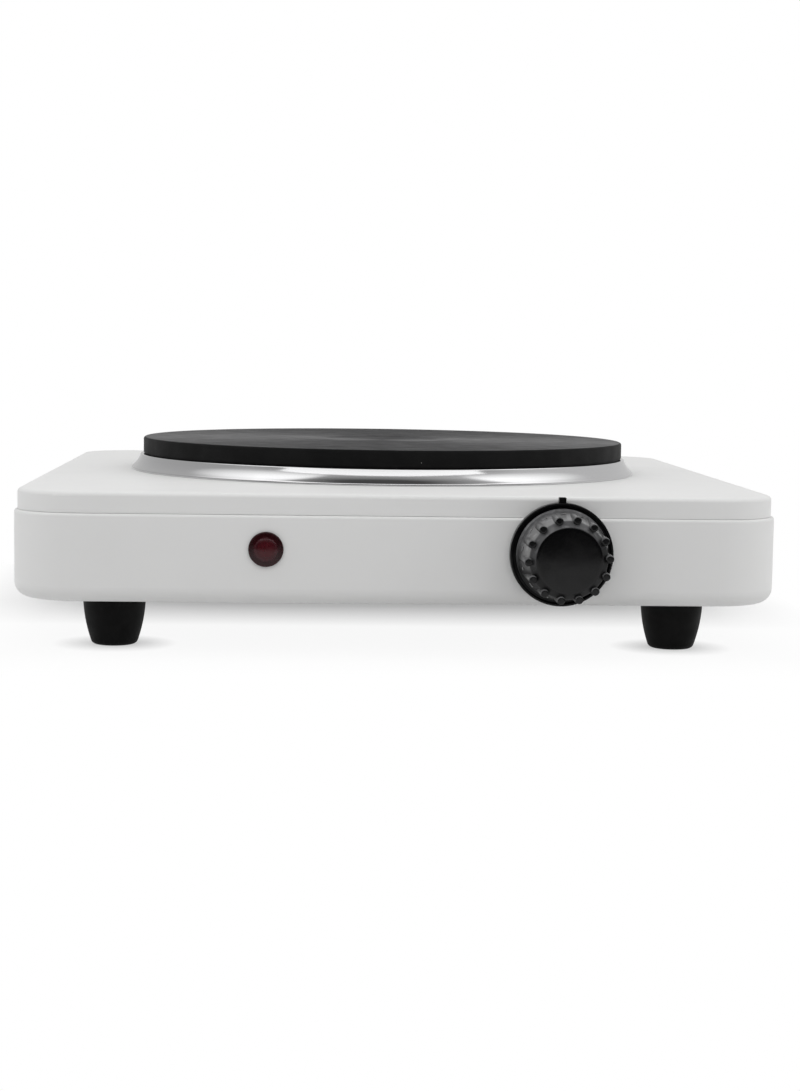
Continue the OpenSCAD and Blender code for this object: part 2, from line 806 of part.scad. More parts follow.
module knob() color(black) at_dial() difference() {
  union() {
    rotate_extrude() polygon([[0, knob_back], [skirt_r - cast_gap, knob_back],
      [skirt_r, skirt_front - skirt_edge], [skirt_r - skirt_edge, skirt_front],
      [grip_r, knob_reach - bevel_l], [face_r, knob_reach], [0, knob_reach]]);
    for (i = [0 : rib_count - 1]) rotate([0, 0, rib_turn + i * 360 / rib_count])
      translate([rib_ring_r, 0, rib_root]) {
        cylinder(r = rib_r, h = rib_l);
        translate([0, 0, rib_l]) cylinder(r1 = rib_r, r2 = rib_r - rib_end, h = rib_end);
      }
  }
  translate([0, 0, -1]) cylinder(r = spindle_r + run_gap, h = spindle_front + 1 + seat_gap);
  translate([0, 0, -1]) difference() {
    cylinder(r = grip_r - knob_wall, h = knob_hollow + 1);
    cylinder(r = knob_hub_r, h = knob_hollow + 1);
  }
}

// Leaf that fills the spindle's flat and grips the knob
module knob_spring_clip() color(steel) at_dial()
  translate([-clip_w / 2, spindle_r - flat_depth + cast_gap, spindle_front - flat_l + 1.5])
    cube([clip_w, clip_t, flat_l - 2.5]);

module thermostat_spindle() color(brass) at_dial() difference() {
  union() {
    translate([0, 0, -bush_end - cast_gap]) cylinder(r = spindle_r,
      h = bush_end + cast_gap + spindle_front);
    translate([0, 0, -bush_end - cast_gap - collar_t]) cylinder(r = collar_r, h = collar_t);
    translate([0, 0, -nose_end]) cylinder(r = nose_r, h = nose_end - bush_end);
  }
  translate([-spindle_r - 1, spindle_r - flat_depth, spindle_front - flat_l])
    cube([2 * spindle_r + 2, spindle_r, flat_l + 1]);
}

// ---------- Thermostat ----------

module thermostat_bracket() color(zinc) at_dial() translate([0, 0, -bracket_y]) difference() {
  translate([-stack_dx - ring_r - bracket_edge, -bracket_h / 2, 0])
    cube([stack_dx + ring_r + dial_screw_dx + 3 * bracket_edge, bracket_h, bracket_t]);
  translate([0, 0, -1]) cylinder(r = bush_r + cast_gap, h = bracket_t + 2);
  translate([-stack_dx, 0, -1]) cylinder(r = rivet_r + run_gap, h = bracket_t + 2);
  for (x = [-dial_screw_dx, dial_screw_dx])
    translate([x, 0, -1]) cylinder(r = dial_screw_r + run_gap, h = bracket_t + 2);
}

module spindle_bush() color(brass) at_dial() translate([0, 0, -bush_end])
  tube(bush_r, spindle_r + run_gap, bush_end - sheet_t);

module push_pin() color(ceramic) at_dial() translate([0, 0, seat_gap - set_blade_y])
  cylinder(r = pusher_r, h = set_blade_y - seat_gap - pusher_y);

// A leaf of the stack whose front face is at depth y
module leaf(y, t, w, reach) {
  at_stack() translate([0, 0, -y - t]) difference() {
    union() {
      cylinder(r = w / 2 + leaf_root, h = t);
      translate([0, -w / 2, 0]) cube([reach, w, t]);
    }
    translate([0, 0, -1]) cylinder(r = sleeve_r + leaf_gap, h = t + 2);
  }
}

module set_blade() color(brass) union() {
  leaf(set_blade_y, blade_t, blade_w, blade_reach);
  at_stack() translate([contact_dx, 0, -set_blade_y - blade_t - set_contact_h])
    cylinder(r = contact_r, h = set_contact_h + eps);
}

module snap_blade() color(brass) union() {
  leaf(snap_blade_y, blade_t, blade_w, blade_reach);
  at_stack() translate([contact_dx, 0, -snap_blade_y - eps])
    cylinder(r = contact_r, h = snap_contact_h + eps);
}

module bimetal_strip() color(zinc) leaf(bimetal_y, bimetal_t, bimetal_w, bimetal_reach);

module bimetal_stud() color(ceramic) at_stack() translate([stud_dx, 0, -bimetal_y])
  cylinder(r = pusher_r, h = bimetal_y - snap_blade_y - blade_t);

// One insulator between two depths
module insulator(from, to) {
  at_stack() translate([0, 0, -to]) tube(ring_r, sleeve_r + run_gap, to - from);
}

module insulator_rings() color(ceramic) {
  insulator(bracket_y, set_tag_y);
  insulator(set_tag_y + tag_t, set_blade_y - blade_play);
  insulator(set_blade_y + blade_t + blade_play, snap_blade_y - blade_play);
  insulator(snap_tag_y + tag_t, bimetal_y - blade_play);
  insulator(bimetal_y + bimetal_t + blade_play, stack_end);
}

module insulating_sleeve() color(ceramic) at_stack() translate([0, 0, -stack_end])
  tube(sleeve_r, rivet_r + run_gap, stack_end - bracket_y);

module stack_rivet() color(zinc) at_stack() translate([0, 0, -stack_end - rivet_head_t]) {
  cylinder(r = rivet_r, h = stack_end + rivet_head_t - sheet_t);
  cylinder(r = rivet_r * 2, h = rivet_head_t);
}

// A push-on tag of the stack whose front face is at depth y
module tag(y) color(brass) at_stack() translate([0, 0, -y - tag_t]) difference() {
  union() {
    cylinder(r = ring_r, h = tag_t);
    translate([-tag_l, -tag_w / 2, 0]) cube([tag_l, tag_w, tag_t]);
  }
  translate([0, 0, -1]) cylinder(r = sleeve_r + run_gap, h = tag_t + 2);
}

module live_tag() tag(set_tag_y);
module load_tag() tag(snap_tag_y);

// ---------- Lamp ----------

module indicator_lens() color(red) at_lamp() difference() {
  union() {
    rotate_extrude() {
      square([lamp_flange_r, lamp_flange_t - lamp_edge_r]);
      square([lamp_flange_r - lamp_edge_r, lamp_flange_t]);
      translate([lamp_flange_r - lamp_edge_r, lamp_flange_t - lamp_edge_r]) intersection() {
        circle(lamp_edge_r);
        square(lamp_edge_r);
      }
    }
    cylinder(r = lamp_dome_r, h = lamp_flange_t + lamp_dome_h - lamp_edge_r);
    cylinder(r = lamp_dome_r - lamp_edge_r, h = lamp_flange_t + lamp_dome_h);
    translate([0, 0, -lamp_neck_l]) cylinder(r = lamp_neck_r, h = lamp_neck_l + eps);
  }
  translate([0, 0, -lamp_neck_l - 1])
    cylinder(r = lamp_neck_r - lamp_neck_wall, h = lamp_neck_l + 1);
}

module lamp_clip() color(steel) at_lamp() translate([0, 0, -sheet_t - lamp_clip_t])
  tube(lamp_clip_r, lamp_neck_r + run_gap, lamp_clip_t);

module lamp_housing() color(ceramic) at_lamp() difference() {
  union() {
    translate([0, 0, -lamp_neck_l - lamp_housing_l]) cylinder(r = lamp_neck_r, h = lamp_housing_l);
    translate([0, 0, -lamp_neck_l - eps])
      cylinder(r = lamp_neck_r - lamp_neck_wall - run_gap, h = lamp_spigot_l + eps);
  }
  translate([0, 0, -lamp_neck_l - 1]) cylinder(r = bulb_r + cast_gap, h = lamp_spigot_l + 2);
  translate([0, 0, -lamp_neck_l - lamp_housing_l + housing_floor])
    cylinder(r = resistor_r + cast_gap, h = resistor_l + seat_gap);
}

module neon_bulb() color([0.9, 0.6, 0.5]) at_lamp() translate([0, 0, -lamp_neck_l - 1]) {
  cylinder(r = bulb_r, h = bulb_l - bulb_r);
  translate([0, 0, bulb_l - bulb_r]) intersection() {
    sphere(r = bulb_r);
    translate([-bulb_r, -bulb_r, -eps]) cube(2 * bulb_r);
  }
}

module series_resistor() color(ceramic) at_lamp()
  translate([0, 0, housing_floor - lamp_neck_l - lamp_housing_l])
    cylinder(r = resistor_r, h = resistor_l);

// ---------- Cord entry and wiring ----------

module cord_gland() color(black) translate([gland_x, rear_y, gland_z]) rotate([-90, 0, 0])
  difference() {
    union() {
      translate([0, 0, -sheet_t - gland_barb_t]) cylinder(r = gland_barb_r, h = gland_barb_t);
      translate([0, 0, -sheet_t - eps]) cylinder(r = gland_neck_r, h = sheet_t + 2 * eps);
      cylinder(r = gland_flange_r, h = gland_flange_t);
      translate([0, 0, gland_flange_t - eps])
        cylinder(r1 = gland_nose_r, r2 = gland_nose_r - 0.8, h = gland_reach - gland_flange_t + eps);
    }
    translate([0, 0, -sheet_t - gland_barb_t - 1])
      cylinder(r = cord_r, h = gland_reach + sheet_t + gland_barb_t + 2);
  }

// Puts its children over each way of the terminal block
module at_ways() {
  for (i = [-1 : 1]) translate([block_x + i * way_dx, block_y, floor_z]) children();
}

module terminal_block() color(ceramic) difference() {
  translate([block_x - block_w / 2, block_y - block_d / 2, floor_z])
    cube([block_w, block_d, block_h]);
  at_ways() {
    translate([0, -block_d / 2 - 1, way_z]) rotate([-90, 0, 0])
      cylinder(r = way_r, h = block_d + 2);
    for (y = [-way_screw_dy, way_screw_dy]) translate([0, y, way_z])
      cylinder(r = way_screw_r + cast_gap, h = block_h);
  }
  translate([block_x + way_dx / 2, block_y, floor_z - 1])
    cylinder(r = block_screw_r + run_gap, h = block_screw_l + 2);
}

module terminal_screws() color(brass) at_ways() for (y = [-way_screw_dy, way_screw_dy])
  translate([0, y, block_h - way_screw_sink])
    slotted_screw(way_screw_r, way_screw_r, way_screw_r,
                  block_h - way_screw_sink - way_z - way_r - seat_gap);

module terminal_block_screw() color(zinc)
  translate([block_x + way_dx / 2, block_y, pan_z]) mirror([0, 0, 1])
    slotted_screw(block_screw_r * 2, block_screw_head_h, block_screw_r, sheet_t + block_screw_l);

module earth_screw() color(brass) translate([earth_x, earth_y, floor_z + tag_t])
  slotted_screw(screw_head_r, screw_head_h, foot_screw_r, tag_t + sheet_t + earth_screw_tail);

// The straight end of a lead in way i of the terminal block
function way_end(i) = [for (y = [lead_grip, -lead_grip])
  [block_x + i * way_dx, block_y - block_d / 2 + y, floor_z + way_z]];

// Foot of the crimp on a left-hand plate terminal
function crimp_end(i) = [-pin_dx, pin_ys[i], pin_z + crimp_grip - crimp_h];

module live_lead() color([0.35, 0.2, 0.1]) {
  start = way_end(1);
  end = socket_end(set_tag_y);
  wire([start[0], start[1], [start[1][0], body_y - 10, lead_z],
        [dial_x - 20, front_y + 42, lead_z], [end[0] - 6, end[1] + 5, dial_z - 9],
        [end[0] - lead_grip - 1, end[1], dial_z], end], lead_r);
}

module switched_lead() color([0.1, 0.1, 0.1]) {
  start = socket_end(snap_tag_y);
  end = crimp_end(1);
  wire([start, start - [lead_grip, 0, 0], [end[0] + 3, end[1] - 20, lead_z + 5],
        [end[0], end[1], lead_z], end], lead_r);
}

module neutral_lead() color([0.15, 0.3, 0.7]) {
  start = way_end(0);
  end = crimp_end(0);
  wire([start[0], start[1], [start[1][0] - neutral_lead_sweep, body_y + neutral_lead_dy, lead_z],
        [end[0], end[1], lead_z], end], lead_r);
}

module earth_lead() color([0.3, 0.6, 0.25]) {
  start = way_end(-1);
  end = [earth_x + earth_barrel_end, earth_y, floor_z + earth_barrel_r];
  wire([start[0], start[1],
        [start[1][0] - earth_lead_sweep, earth_y - earth_lead_sweep, end[2] + earth_lead_lift],
        end + [lead_grip, 0, 0], end], lead_r);
}

// The lamp's two thin leads, one to each left-hand plate terminal's crimp
module lamp_leads() color([0.6, 0.6, 0.62]) for (i = [0, 1]) {
  start = [-lamp_x + (i == 0 ? -1 : 1) * lamp_lead_dx,
           front_y + lamp_neck_l + lamp_housing_l, lamp_z];
  end = [-pin_dx - crimp_r - cast_gap, pin_ys[i], pin_z];
  wire([start, start + [0, lead_grip, 0], start + lamp_lead_turn - [0, lamp_lead_step * i, 0],
        end - lamp_lead_sweep, end - [lead_grip, 0, 0], end], lamp_lead_r);
}

// Push-on sockets, crimps and the earth lead's ring tongue
module lead_terminals() color(zinc) {
  tag_socket(set_tag_y);
  tag_socket(snap_tag_y);
  for (y = pin_ys) crimp(-pin_dx, y);
  difference() {
    union() {
      translate([earth_x, earth_y, floor_z]) cylinder(r = earth_tag_r, h = tag_t);
      translate([earth_x, earth_y, floor_z + earth_barrel_r]) rotate([0, 90, 0])
        cylinder(r = earth_barrel_r, h = earth_barrel_end);
    }
    translate([earth_x, earth_y, floor_z - 1])
      cylinder(r = foot_screw_r + cast_gap, h = tag_t + 2);
    translate([earth_x, earth_y, floor_z + tag_t])
      cylinder(r = screw_head_r + cast_gap, h = 4 * tag_t);
  }
}

base_pan();
top_cover();
cover_posts();
foot_front_left();
foot_front_right();
foot_rear_left();
foot_rear_right();
foot_screws();
foot_washers();
trim_ring();
hot_plate();
centre_stud();
heating_coil_inner();
heating_coil_outer();
magnesia_filling_inner();
magnesia_filling_outer();
plate_back_cover();
plate_terminal_pins();
ceramic_beads();
coil_link();
back_cover_nut();
clamp_bridge();
bridge_washer();
bridge_nut();
heat_shield();
heat_shield_nut();
dial_bezel();
dial_screws();
knob();
knob_spring_clip();
thermostat_spindle();
thermostat_bracket();
spindle_bush();
push_pin();
set_blade();
snap_blade();
bimetal_strip();
bimetal_stud();
insulator_rings();
insulating_sleeve();
stack_rivet();
live_tag();
load_tag();
indicator_lens();
lamp_clip();
lamp_housing();
neon_bulb();
series_resistor();
cord_gland();
terminal_block();
terminal_screws();
terminal_block_screw();
earth_screw();
live_lead();
switched_lead();
neutral_lead();
earth_lead();
lamp_leads();
lead_terminals();
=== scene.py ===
"""Single electric hot plate: finished outer pieces, finishes for the inner ones, and a plain studio.

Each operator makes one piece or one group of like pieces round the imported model, which gives
every place and size. Lengths are in metres, +Z is up, and the dial looks along -Y.
"""

import json
import math

import bpy
from mathutils import Matrix, Vector


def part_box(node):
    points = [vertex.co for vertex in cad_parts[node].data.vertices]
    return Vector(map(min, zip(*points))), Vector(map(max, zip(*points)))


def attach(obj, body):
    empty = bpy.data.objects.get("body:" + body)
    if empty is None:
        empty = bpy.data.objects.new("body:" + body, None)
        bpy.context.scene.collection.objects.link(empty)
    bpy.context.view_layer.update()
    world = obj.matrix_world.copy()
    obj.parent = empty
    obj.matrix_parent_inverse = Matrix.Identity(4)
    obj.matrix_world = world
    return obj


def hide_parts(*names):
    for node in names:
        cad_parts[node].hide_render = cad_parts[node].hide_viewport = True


bl_info = {
    "name": "Single Hot Plate",
    "version": (1, 0, 0),
    "blender": (4, 5, 0),
    "location": "View3D > Sidebar > Hot Plate",
    "description": "Finished pieces and studio for a single electric hot plate",
    "category": "Add Mesh",
}

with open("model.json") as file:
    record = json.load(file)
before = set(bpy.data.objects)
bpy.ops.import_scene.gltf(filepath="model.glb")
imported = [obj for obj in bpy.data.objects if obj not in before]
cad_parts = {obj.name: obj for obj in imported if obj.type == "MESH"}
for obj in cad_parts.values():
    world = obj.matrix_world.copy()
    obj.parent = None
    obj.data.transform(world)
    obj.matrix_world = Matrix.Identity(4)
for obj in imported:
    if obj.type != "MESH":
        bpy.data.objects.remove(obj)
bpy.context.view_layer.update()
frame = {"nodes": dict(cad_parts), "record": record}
MM = 0.001


def middle(node):
    """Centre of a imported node's box."""
    low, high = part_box(node)
    return (low + high) / 2


def radius_of(node):
    """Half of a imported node's width."""
    low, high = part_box(node)
    return (high.x - low.x) / 2


def on_wall(node, wall_y):
    """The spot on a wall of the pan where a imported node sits."""
    centre = middle(node)
    return Vector((centre.x, wall_y, centre.z))


PAN_LOW, PAN_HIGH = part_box("base_pan")
PAN_MIDDLE = (PAN_LOW + PAN_HIGH) / 2
COVER_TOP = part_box("top_cover")[1].z
PLATE_LOW, PLATE_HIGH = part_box("hot_plate")
PLATE_AXIS = Vector((middle("hot_plate").x, middle("hot_plate").y, 0))
PLATE_R = radius_of("hot_plate")
RIM_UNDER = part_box("trim_ring")[1].z
RING_TOE_R = radius_of("trim_ring")
RING_BORE_R = 84 * MM
BEZEL_R = radius_of("dial_bezel")
DIAL_CENTRE = on_wall("thermostat_spindle", PAN_LOW.y)
KNOB_LOW, KNOB_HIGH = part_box("knob")
KNOB_REACH = PAN_LOW.y - KNOB_LOW.y
SKIRT_R = radius_of("knob")
SKIRT_EDGE_Z = 3.7 * MM
CONE_FOOT = Vector((SKIRT_R - 0.5 * MM, 4.2 * MM))
RIB_TURN = math.radians(2.5)
# Height of a figure as a part of its font size.
FIGURE_SHARE = 0.7
LAMP_CENTRE = on_wall("indicator_lens", PAN_LOW.y)
LAMP_R = radius_of("indicator_lens")
GLAND_CENTRE = on_wall("cord_gland", PAN_HIGH.y)
FOOT_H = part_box("foot_front_left")[1].z
FOOT_R = radius_of("foot_front_left")
FOOT_SPOT = middle("foot_rear_right") - PAN_MIDDLE


# ---------- Sizes and colours ----------


def number(name, about, default, **limits):
    return bpy.props.FloatProperty(name=name, description=about, default=default, min=0, **limits)


def length(name, about, default):
    return number(name, about, default, precision=5, unit="LENGTH")


def colour(name, about, default):
    return bpy.props.FloatVectorProperty(
        name=name, description=about, default=default, size=3, min=0, max=1, subtype="COLOR"
    )


class HotPlateSizes(bpy.types.PropertyGroup):
    ring_gauge: length("Ring gauge", "Thickness of the trim ring's steel", 0.6 * MM)
    toe_roll: length("Toe roll", "Radius of the ring's rolled toe", 0.8 * MM)
    rim_rounding: length("Rim rounding", "Radius of the iron plate's outer edges", 0.9 * MM)
    recess_radius: length("Recess radius", "Radius of the plate's shallow middle", 24 * MM)
    recess_depth: length("Recess depth", "Depth of the plate's shallow middle", 0.6 * MM)
    foot_edge: length("Foot edge", "Rounding of a foot's lower edge", 1.2 * MM)
    grip_radius: length("Grip radius", "Radius of the knob's cone at its front end", 12.6 * MM)
    face_radius: length("Face radius", "Radius of the knob's face", 10.5 * MM)
    bevel_depth: length("Bevel depth", "How far the face's bevel reaches back", 2.2 * MM)
    face_crown: length("Face crown", "How far the knob's face is crowned", 0.22 * MM)
    numeral_height: length("Numeral height", "Height of the dial's raised numbers", 2.7 * MM)
    numeral_place: number("Numeral place", "Share of the way up the cone where the numbers stand", 0.32,
                          max=1)
    numeral_relief: length("Numeral relief", "How far the numbers stand proud", 0.12 * MM)
    rib_count: bpy.props.IntProperty(
        name="Grip ribs", description="Number of ribs round the knob", default=14, min=8, max=18
    )


class HotPlateColours(bpy.types.PropertyGroup):
    enamel: colour("Enamel", "White stove enamel of the body", (0.79, 0.79, 0.785))
    iron: colour("Iron", "Black coating of the cast plate", (0.006, 0.006, 0.0063))
    steel: colour("Steel", "Polished steel of the trim ring", (0.62, 0.62, 0.625))
    plastic: colour("Plastic", "Black plastic of the dial", (0.003, 0.003, 0.0033))
    rubber: colour("Rubber", "Black rubber of the feet", (0.004, 0.004, 0.004))
    lens: colour("Lens", "Red plastic of the indicator lens", (0.10, 0.006, 0.012))


class HotPlateStudio(bpy.types.PropertyGroup):
    top_light: number("Top light", "Power of the wide overhead light in watts", 5.0)
    side_light: number("Side lights", "Power of each side light in watts", 2.0)
    front_light: number("Front light", "Power of the strip light over the camera in watts", 3.4)
    fill: number("Fill", "Strength of the room's even light", 0.6)
    lamps: number("Lamp glow", "Strength of the two soft lamps that gloss reflects", 1.2)
    floor: colour("Floor", "Pale floor under the hot plate", (0.78, 0.78, 0.78))
    lens: number("Focal length", "Camera focal length", 68.46, subtype="DISTANCE_CAMERA")


# ---------- Modelling helpers ----------


def start_clean():
    """Leaves edit mode and deselects everything."""
    if bpy.context.object and bpy.context.object.mode != "OBJECT":
        bpy.ops.object.mode_set(mode="OBJECT")
    bpy.ops.object.select_all(action="DESELECT")


def only(piece):
    """Makes a piece the one that is selected and active."""
    start_clean()
    piece.select_set(True)
    bpy.context.view_layer.objects.active = piece


def turned(name, outline, steps=128, closed=False):
    """A turned piece about the Z axis. The outline is a row of (radius, height) pairs.

    A closed outline is a ring's section. An open one starts and ends in a flat face.
    """
    start_clean()
    radius, height = outline[0]
    bpy.ops.mesh.primitive_circle_add(vertices=steps, radius=radius, location=(0, 0, height))
    piece = bpy.context.object
    piece.name = piece.data.name = name
    bpy.ops.object.transform_apply()
    bpy.ops.object.mode_set(mode="EDIT")
    bpy.ops.mesh.select_all(action="SELECT")
    if not closed:
        bpy.ops.mesh.edge_face_add()
        bpy.ops.mesh.select_mode(type="EDGE")
    path = list(outline[1:]) + ([outline[0]] if closed else [])
    for r, z in path:
        bpy.ops.mesh.extrude_edges_move(TRANSFORM_OT_translate={"value": (0, 0, z - height)})
        k = r / radius
        bpy.ops.transform.resize(value=(k, k, 1), center_override=(0, 0, 0))
        radius, height = r, z
    if not closed:
        bpy.ops.mesh.edge_face_add()
    finish_mesh()
    return piece


def arc(centre, radius, start, end, steps):
    """Points on a round stretch of an outline, from one angle to another."""
    points = []
    for i in range(steps + 1):
        angle = start + (end - start) * i / steps
        points.append(centre + radius * Vector((math.cos(angle), math.sin(angle))))
    return points


def heading(start, end):
    """The angle at which one point of an outline sees another, from 0 to a full turn."""
    return math.atan2(end.y - start.y, end.x - start.x) % (2 * math.pi)


def between(a, from_a, b, from_b):
    """The point at these distances from a and b, on the right of the way from a to b."""
    way = b - a
    along = (from_a ** 2 - from_b ** 2 + way.length_squared) / (2 * way.length)
    aside = math.sqrt(from_a ** 2 - along ** 2)
    way.normalize()
    return a + along * way + aside * Vector((way.y, -way.x))


def finish_mesh():
    """Merges doubles and turns all faces outward, then leaves edit mode."""
    bpy.ops.mesh.select_mode(type="VERT")
    bpy.ops.mesh.select_all(action="SELECT")
    bpy.ops.mesh.remove_doubles(threshold=1e-6)
    bpy.ops.mesh.normals_make_consistent(inside=False)
    bpy.ops.object.mode_set(mode="OBJECT")


def pick_edges(piece, test):
    """Selects in edit mode the edges whose two ends both pass the test."""
    only(piece)
    bpy.ops.object.mode_set(mode="EDIT")
    bpy.ops.mesh.select_mode(type="EDGE")
    bpy.ops.mesh.select_all(action="DESELECT")
    bpy.ops.object.mode_set(mode="OBJECT")
    points = piece.data.vertices
    for edge in piece.data.edges:
        edge.select = all(test(points[i].co) for i in edge.vertices)
    bpy.ops.object.mode_set(mode="EDIT")


def round_ring(piece, radius, height, width, segments=4):
    """Rounds the turned edge that runs at this radius and height."""

    def on_ring(p):
        return abs(math.hypot(p.x, p.y) - radius) < 2e-5 and abs(p.z - height) < 2e-5

    pick_edges(piece, on_ring)
    bpy.ops.mesh.bevel(offset=width, segments=segments, affect="EDGES")
    bpy.ops.object.mode_set(mode="OBJECT")


def modify(piece, kind, **settings):
    """Adds one modifier and applies it."""
    only(piece)
    modifier = piece.modifiers.new(kind.title(), kind)
    for key, value in settings.items():
        setattr(modifier, key, value)
    bpy.ops.object.modifier_apply(modifier=modifier.name)


def combine(piece, tool, operation):
    """Joins a tool to a piece or cuts it away, and removes the tool."""
    modify(piece, "BOOLEAN", object=tool, operation=operation, solver="EXACT")
    bpy.data.objects.remove(tool)


def place(piece, centre, turn=(0, 0, 0)):
    """Sets a piece in its place and leaves its object at the origin."""
    only(piece)
    piece.rotation_euler = turn
    piece.location = centre
    bpy.ops.object.transform_apply()


def smooth(piece, degrees=35):
    """Smooth shading with sharp edges kept, and flat faces kept flat."""
    only(piece)
    bpy.ops.object.shade_smooth_by_angle(angle=math.radians(degrees))
    modify(piece, "WEIGHTED_NORMAL", keep_sharp=True, weight=75)


def copied(piece):
    """A copy of a piece with its own mesh."""
    copy = piece.copy()
    copy.data = piece.data.copy()
    bpy.context.collection.objects.link(copy)
    return copy


def joined(pieces):
    """Joins pieces into the first of them."""
    start_clean()
    for each in pieces:
        each.select_set(True)
    bpy.context.view_layer.objects.active = pieces[0]
    bpy.ops.object.join()
    return pieces[0]


def coat(piece, material):
    """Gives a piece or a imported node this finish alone."""
    piece.data.materials.clear()
    piece.data.materials.append(material)


def finished(piece, body, slot, material, *nodes):
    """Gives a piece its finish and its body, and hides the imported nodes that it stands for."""
    coat(piece, material)
    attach(piece, body)
    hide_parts(*nodes)


TO_FRONT = (math.radians(90), 0, 0)
TO_REAR = (math.radians(-90), 0, 0)


# ---------- Effects shared by several finishes ----------


class Nodes:
    """Adds and links shader nodes in one tree."""

    def __init__(self, tree):
        self.tree = tree

    def feed(self, socket, value):
        if isinstance(value, bpy.types.NodeSocket):
            self.tree.links.new(value, socket)
        else:
            socket.default_value = value

    def fill(self, node, **inputs):
        """Feeds a node's inputs by name, with an underscore for each space."""
        for key, value in inputs.items():
            self.feed(node.inputs[key.replace("_", " ")], value)
        return node

    def in_order(self, node, *values):
        """Feeds a node's inputs from the first one on."""
        for socket, value in zip(node.inputs, values):
            self.feed(socket, value)
        return node

    def add(self, kind, settings=None, **inputs):
        node = self.tree.nodes.new(kind)
        for key, value in (settings or {}).items():
            setattr(node, key, value)
        return self.fill(node, **inputs)

    def maths(self, operation, *values):
        return self.in_order(self.add("ShaderNodeMath", {"operation": operation}), *values).outputs[0]

    def plus(self, total, *others):
        for other in others:
            total = self.maths("ADD", total, other)
        return total

    def times(self, total, *others):
        for other in others:
            total = self.maths("MULTIPLY", total, other)
        return total

    def vector_maths(self, operation, *values):
        node = self.add("ShaderNodeVectorMath", {"operation": operation})
        return self.in_order(node, *values).outputs

    def parts(self, vector):
        """The X, Y and Z of a vector."""
        return self.add("ShaderNodeSeparateXYZ", Vector=vector).outputs

    def facing(self):
        """The X, Y and Z of the way that the surface faces."""
        return self.parts(self.add("ShaderNodeNewGeometry").outputs["Normal"])

    def span(self, value, low, high, to_low, to_high):
        """Moves a value from one range to another and holds it there."""
        node = self.add("ShaderNodeMapRange")
        return self.in_order(node, value, low, high, to_low, to_high).outputs[0]

    def away(self, a, b):
        """The length of a way with these two parts."""
        return self.maths("SQRT", self.plus(self.times(a, a), self.times(b, b)))

    def blend(self, factor, a, b):
        """Mixes two colours."""
        node = self.add("ShaderNodeMix", {"data_type": "RGBA"})
        for index, item in ((0, factor), (6, a), (7, b)):
            self.feed(node.inputs[index], item)
        return node.outputs[2]

    def choose(self, factor, a, b):
        """Mixes two shaders."""
        return self.in_order(self.add("ShaderNodeMixShader"), factor, a, b).outputs[0]


def effect(name, inputs, outputs):
    """A new shader group with these inputs and outputs."""
    tree = bpy.data.node_groups.new(name, "ShaderNodeTree")
    for label, kind, value in inputs:
        socket = tree.interface.new_socket(label, in_out="INPUT", socket_type=kind)
        if value is not None:
            socket.default_value = value
    for label, kind in outputs:
        tree.interface.new_socket(label, in_out="OUTPUT", socket_type=kind)
    build = Nodes(tree)
    return tree, build, build.add("NodeGroupInput").outputs, build.add("NodeGroupOutput").inputs


FLOAT, VECTOR = "NodeSocketFloat", "NodeSocketVector"


def fine_grain_effect():
    """Fine uneven texture of a coated, moulded or cast surface."""
    tree, build, given, out = effect(
        "fine_grain",
        [("Vector", VECTOR, None), ("Grain Size", FLOAT, 0.001), ("Softness", FLOAT, 0.5),
         ("Roughness Low", FLOAT, 0.3), ("Roughness High", FLOAT, 0.4)],
        [("Height", FLOAT), ("Roughness", FLOAT)],
    )
    scale = build.maths("DIVIDE", 1.0, given["Grain Size"])
    grain = build.add("ShaderNodeTexNoise", Vector=given["Vector"], Scale=scale, Detail=3.0,
                      Roughness=given["Softness"])
    broad = build.times(scale, 0.06)
    drift = build.add("ShaderNodeTexNoise", Vector=given["Vector"], Scale=broad, Detail=4.0)
    mixed = build.plus(build.times(grain.outputs[0], 0.4), build.times(drift.outputs[0], 0.6))
    build.feed(out["Height"], grain.outputs[0])
    build.feed(out["Roughness"], build.span(mixed, 0.35, 0.65, given["Roughness Low"],
                                            given["Roughness High"]))
    return tree


def turning_effect():
    """Concentric lines that a lathe leaves about the Z axis of the vector."""
    tree, build, given, out = effect(
        "turning_lines",
        [("Vector", VECTOR, None), ("Pitch", FLOAT, 0.001), ("Waver", FLOAT, 0.4)],
        [("Height", FLOAT), ("Shade", FLOAT)],
    )
    flat = build.vector_maths("MULTIPLY", given["Vector"], (1.0, 1.0, 0.0))
    radius = build.vector_maths("LENGTH", flat["Vector"])["Value"]
    turns = build.maths("DIVIDE", radius, given["Pitch"])
    band = build.add("ShaderNodeTexNoise", {"noise_dimensions": "1D"}, W=turns, Scale=0.9,
                     Detail=5.0, Roughness=0.7)
    broad = build.add("ShaderNodeTexNoise", {"noise_dimensions": "1D"},
                      W=build.times(turns, 0.07), Scale=1.0, Detail=2.0)
    wave = build.maths("SINE", build.times(turns, 2 * math.pi))
    height = build.plus(build.times(wave, 0.25), build.times(band.outputs[0], given["Waver"]))
    shade = build.plus(build.times(band.outputs[0], 0.5), build.times(broad.outputs[0], 0.5))
    build.feed(out["Height"], height)
    build.feed(out["Shade"], shade)
    return tree


